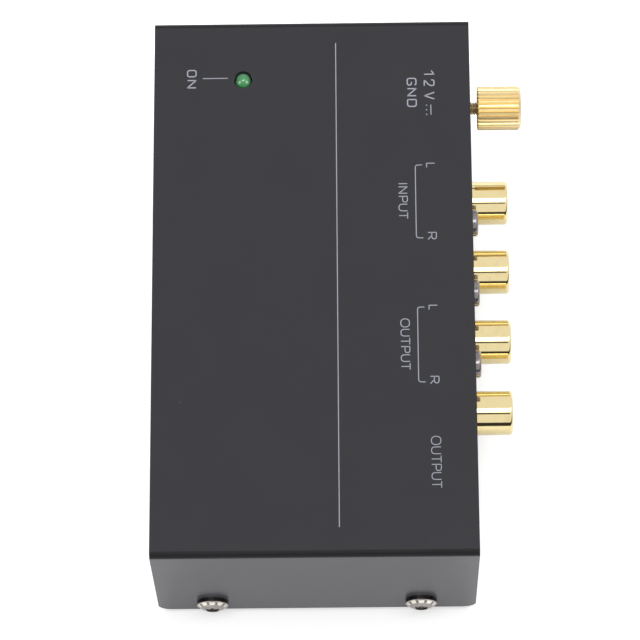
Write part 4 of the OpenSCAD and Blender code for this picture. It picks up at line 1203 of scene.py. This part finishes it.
@dataclass(frozen=True)
class Wardrobe:
    """Says which finish each CAD node wears."""

    plain: tuple[tuple[Finish, tuple[str, ...]], ...] = (
        (COVER_COAT, ("top_cover",)),
        (BASE_COAT, ("base_chassis",)),
        (RUBBER, ("rubber_feet",)),
        (END_NICKEL, ("cover_screws",)),
        (NICKEL, ("board_standoffs", "board_screws", "ground_washer")),
        (DARK_NICKEL, ("socket_screws",)),
        (MOULDED_BLACK, ("socket_housing", "jack_housing", "power_jack_housing")),
        (SATIN_GOLD, ("ground_knob",)),
        (TINNED, ("jack_sleeve", "jack_tags", "power_jack_pin", "power_jack_tag", "ground_lug",
                  "power_light_leads", "amplifier_legs")),
        (CONTACT, ("jack_ring_spring", "jack_tip_spring", "power_jack_spring", "ground_nut")),
        (INSULATION, ("ground_wire",)),
        (NYLON, ("light_spacer",)),
        (CHIP_BLACK, ("amplifier_chips", "voltage_regulator", "polarity_diode")),
        (CAN_SLEEVE, ("supply_capacitor", "electrolytic_capacitors")),
        (FILM_RED, ("film_capacitors",)),
    )

    def build(self) -> None:
        """Dresses every node."""
        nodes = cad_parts
        for finish, names in self.plain:
            for name in names:
                dress(nodes[name], finish)
        for name in nodes:
            if name.endswith("_shell"):
                dress(nodes[name], MIRROR_GOLD)
            elif name.endswith("_contact"):
                dress(nodes[name], CONTACT)
            elif name.endswith("_insert"):
                dress(nodes[name], INSERT_WHITE if "left" in name else INSERT_RED)
        self.board(nodes["circuit_board"])
        self.light(nodes["power_light"])
        self.resistors(nodes["resistors"])
        log.info("dressed %d nodes", len(nodes))

    def board(self, piece: bpy.types.Object) -> None:
        """Gives the circuit board its mask and tracks.

        Args:
            piece: The board's object.
        """
        low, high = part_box("circuit_board")
        dress(piece, SolderMask("board_mask", (0.008, 0.075, 0.028), (0.018, 0.13, 0.05), 0.32,
                                bottom_mm=low[2] / MM, top_mm=high[2] / MM))

    def light(self, piece: bpy.types.Object) -> None:
        """Gives the light its lens, with painted light in a paler tone on one side.

        Args:
            piece: The light's object.
        """
        x, y, _ = middle_mm("power_light")
        # The second colour is the painted light on one side of the lens.
        dress(piece, Lens("lens_green", (0.031, 0.14, 0.058), (0.045, 0.30, 0.09), 0.14,
                          middle=(x, y)))

    def resistors(self, piece: bpy.types.Object) -> None:
        """Gives the resistors their bands.

        Args:
            piece: The resistors' object.
        """
        x, _, _ = middle_mm("resistors")
        dress(piece, Banded("resistor_blue", (0.16, 0.36, 0.50), (0.12, 0.28, 0.42), 0.35,
                            first_x_mm=x))


# ------------------------------------------------------------------ the studio


def stand(made: bpy.types.Object, axes: Sequence[np.ndarray], at: np.ndarray) -> None:
    """Puts a camera or a lamp in the scene.

    Args:
        made: The object.
        axes: Its right, up and back axes.
        at: Its place, in metres.
    """
    rows = np.column_stack([*axes, at]).tolist()
    made.matrix_world = Matrix([*rows, [0, 0, 0, 1]])
    bpy.context.scene.collection.objects.link(made)


@dataclass(frozen=True)
class Camera:
    """The camera of the photograph."""

    azimuth: float = 91.9119
    elevation: float = 69.3349
    roll: float = -2.3909
    focal_px: float = 3645.34
    frame_px: float = 640.0
    across_mm: float = 0.801
    up_mm: float = 4.632
    distance_mm: float = 705.45
    level_mm: float = 2.0
    sensor_mm: float = 36.0
    clip_m: Pair = (0.05, 30.0)

    def axes(self) -> tuple[np.ndarray, np.ndarray, np.ndarray]:
        """Works out the camera's axes.

        The back points from the case to the lens at the azimuth and the elevation; the
        level axis and the one across it are turned about the back by the roll.

        Returns:
            The axes to the right, up and back.
        """
        az, el, roll = (math.radians(v) for v in (self.azimuth, self.elevation, self.roll))
        back = np.array([math.sin(az) * math.cos(el), -math.cos(az) * math.cos(el), math.sin(el)])
        side = np.array([math.cos(az), math.sin(az), 0.0])
        rise = np.cross(back, side)
        right = math.cos(roll) * side + math.sin(roll) * rise
        return right, -math.sin(roll) * side + math.cos(roll) * rise, back

    def build(self) -> None:
        """Stands the camera where the photograph was taken from.

        Its place is across * right + up * up + distance * back, from the table's level.
        """
        right, up, back = self.axes()
        at = right * self.across_mm + up * self.up_mm + back * self.distance_mm
        lens = bpy.data.cameras.new("camera")
        lens.sensor_width = self.sensor_mm
        lens.lens = self.focal_px / self.frame_px * self.sensor_mm
        lens.clip_start, lens.clip_end = self.clip_m
        made = bpy.data.objects.new("camera", lens)
        stand(made, (right, up, back), (at + np.array([0, 0, self.level_mm])) * MM)
        bpy.context.scene.camera = made


@dataclass(frozen=True)
class Lamp:
    """A soft lamp that faces the object: its place and its size in metres, and its power."""

    name: str
    at: Triple
    size: Pair
    watts: float
    mirrored: bool = True

    def build(self) -> None:
        """Hangs the lamp with its width level: side = up x back / |up x back|."""
        light = bpy.data.lights.new(self.name, "AREA")
        light.shape, light.energy = "RECTANGLE", self.watts
        light.size, light.size_y = self.size
        made = bpy.data.objects.new(self.name, light)
        back = np.array(self.at) / np.linalg.norm(self.at)
        side = np.cross([0.0, 0.0, 1.0], back)
        side = side / np.linalg.norm(side)
        stand(made, (side, np.cross(back, side), back), np.array(self.at))
        made.visible_glossy = self.mirrored


@dataclass(frozen=True)
class Room:
    """The room: white behind the object, dimmer as a light on it.

    Metal sees a room that is white on the far side, down to a thin dark band along the
    horizon, and dark on the camera's side, as the open side of a light tent is.
    """

    lit: float = 0.3
    wall: float = 0.98
    near: Pair = (-0.2, 0.5)
    near_rise: Pair = (0.37, 0.32)
    near_dark: float = 0.94
    horizon: Pair = (0.10, 0.03)
    horizon_dark: float = 0.6
    hole: Pair = (0.9955, 0.9968)
    hole_dark: float = 0.88

    def metal(self, shader: Shader, lens: Triple) -> Link:
        """Works out what metal sees.

        The hole is the round dark spot that the photograph was taken through: there the
        dot product of a direction with the way to the lens is near 1.

        Args:
            shader: The world's shader.
            lens: The way from the object to the photograph's lens.

        Returns:
            The brightness in each direction.
        """
        direction = shader.node("VectorMath", {"operation": "NORMALIZE"},
                                {0: shader.out(shader.node("TexCoord"), "Generated")})
        split = shader.node("SeparateXYZ", None, {0: shader.out(direction)})
        x, z = shader.out(split, 0), shader.out(split, 2)
        near = shader.step(x, *self.near)
        dark = near * shader.step(z, *self.near_rise) * self.near_dark
        band = (1.0 - near) * (shader.step(z, *self.horizon) * self.horizon_dark)
        towards = shader.node("VectorMath", {"operation": "DOT_PRODUCT"},
                              {0: shader.out(direction), 1: lens})
        hole = shader.step(shader.out(towards, "Value"), *self.hole)
        return (self.wall - dark - band) * (1.0 - hole * self.hole_dark)

    def build(self, lens: Triple) -> None:
        """Makes the room.

        Args:
            lens: The way from the object to the photograph's lens.
        """
        world = bpy.data.worlds.new("room")
        world.use_nodes = True
        bpy.context.scene.world = world
        shader = Shader(world.node_tree)
        seen, glossy = shader.rays()
        plain = shader.maths("SUBTRACT", 1.0, seen + glossy, clamp=True)
        strength = seen + glossy * self.metal(shader, lens) + plain * self.lit
        lit = shader.node("Background", None, {"Color": (1.0, 1.0, 1.0), "Strength": strength})
        shader.node("OutputWorld", None, {"Surface": shader.out(lit)})


@dataclass(frozen=True)
class Floor:
    """A square white floor that looks white in the picture and still takes the shadow."""

    half_m: float = 4.0
    points: int = 5
    paper: Colour = (0.8, 0.8, 0.8)
    glow: float = 0.6
    mirrored_glow: float = 0.3

    def build(self) -> None:
        """Lays the floor: a level grid of points at the height 0."""
        line = np.linspace(-self.half_m, self.half_m, self.points) / MM
        x, y = np.meshgrid(line, line, indexing="ij")
        shape = Surface()
        shape.grid(np.stack([x, y, np.zeros_like(x)], -1))
        made = shape.make("floor")
        material = bpy.data.materials.new("floor_white")
        material.use_nodes = True
        shader = Shader(material.node_tree)
        seen, glossy = shader.rays()
        paper = shader.node("BsdfDiffuse", None, {"Color": self.paper})
        glow = shader.node("Emission", None, {
            "Color": (1.0, 1.0, 1.0), "Strength": seen * self.glow + glossy * self.mirrored_glow})
        both = shader.node("AddShader", None, {0: shader.out(paper), 1: shader.out(glow)})
        shader.node("OutputMaterial", None, {"Surface": shader.out(both)})
        made.data.materials.append(material)


@dataclass(frozen=True)
class Studio:
    """The camera of the photograph, a soft room, a white floor and two lamps."""

    camera: Camera = Camera()
    room: Room = Room()
    floor: Floor = Floor()
    lamps: tuple[Lamp, ...] = (
        Lamp("overhead", (0.13, 0.04, 1.15), (1.3, 0.38), 5.2),
        Lamp("side", (-0.75, 0.0, 1.0), (1.2, 1.0), 13.5, mirrored=False))

    def build(self) -> None:
        """Sets the whole studio."""
        self.camera.build()
        self.room.build(tuple(self.camera.axes()[2]))
        self.floor.build()
        for lamp in self.lamps:
            lamp.build()
        bpy.context.scene.view_settings.view_transform = "Standard"


def main() -> None:
    """Builds the studio, the finishes and the new pieces in order."""
    logging.basicConfig(level=logging.INFO, format="%(name)s %(message)s", stream=sys.stdout)
    Studio().build()
    Wardrobe().build()
    ThreadedShank().build()
    CoverPrint().build()


if __name__ == "__main__":
    main()
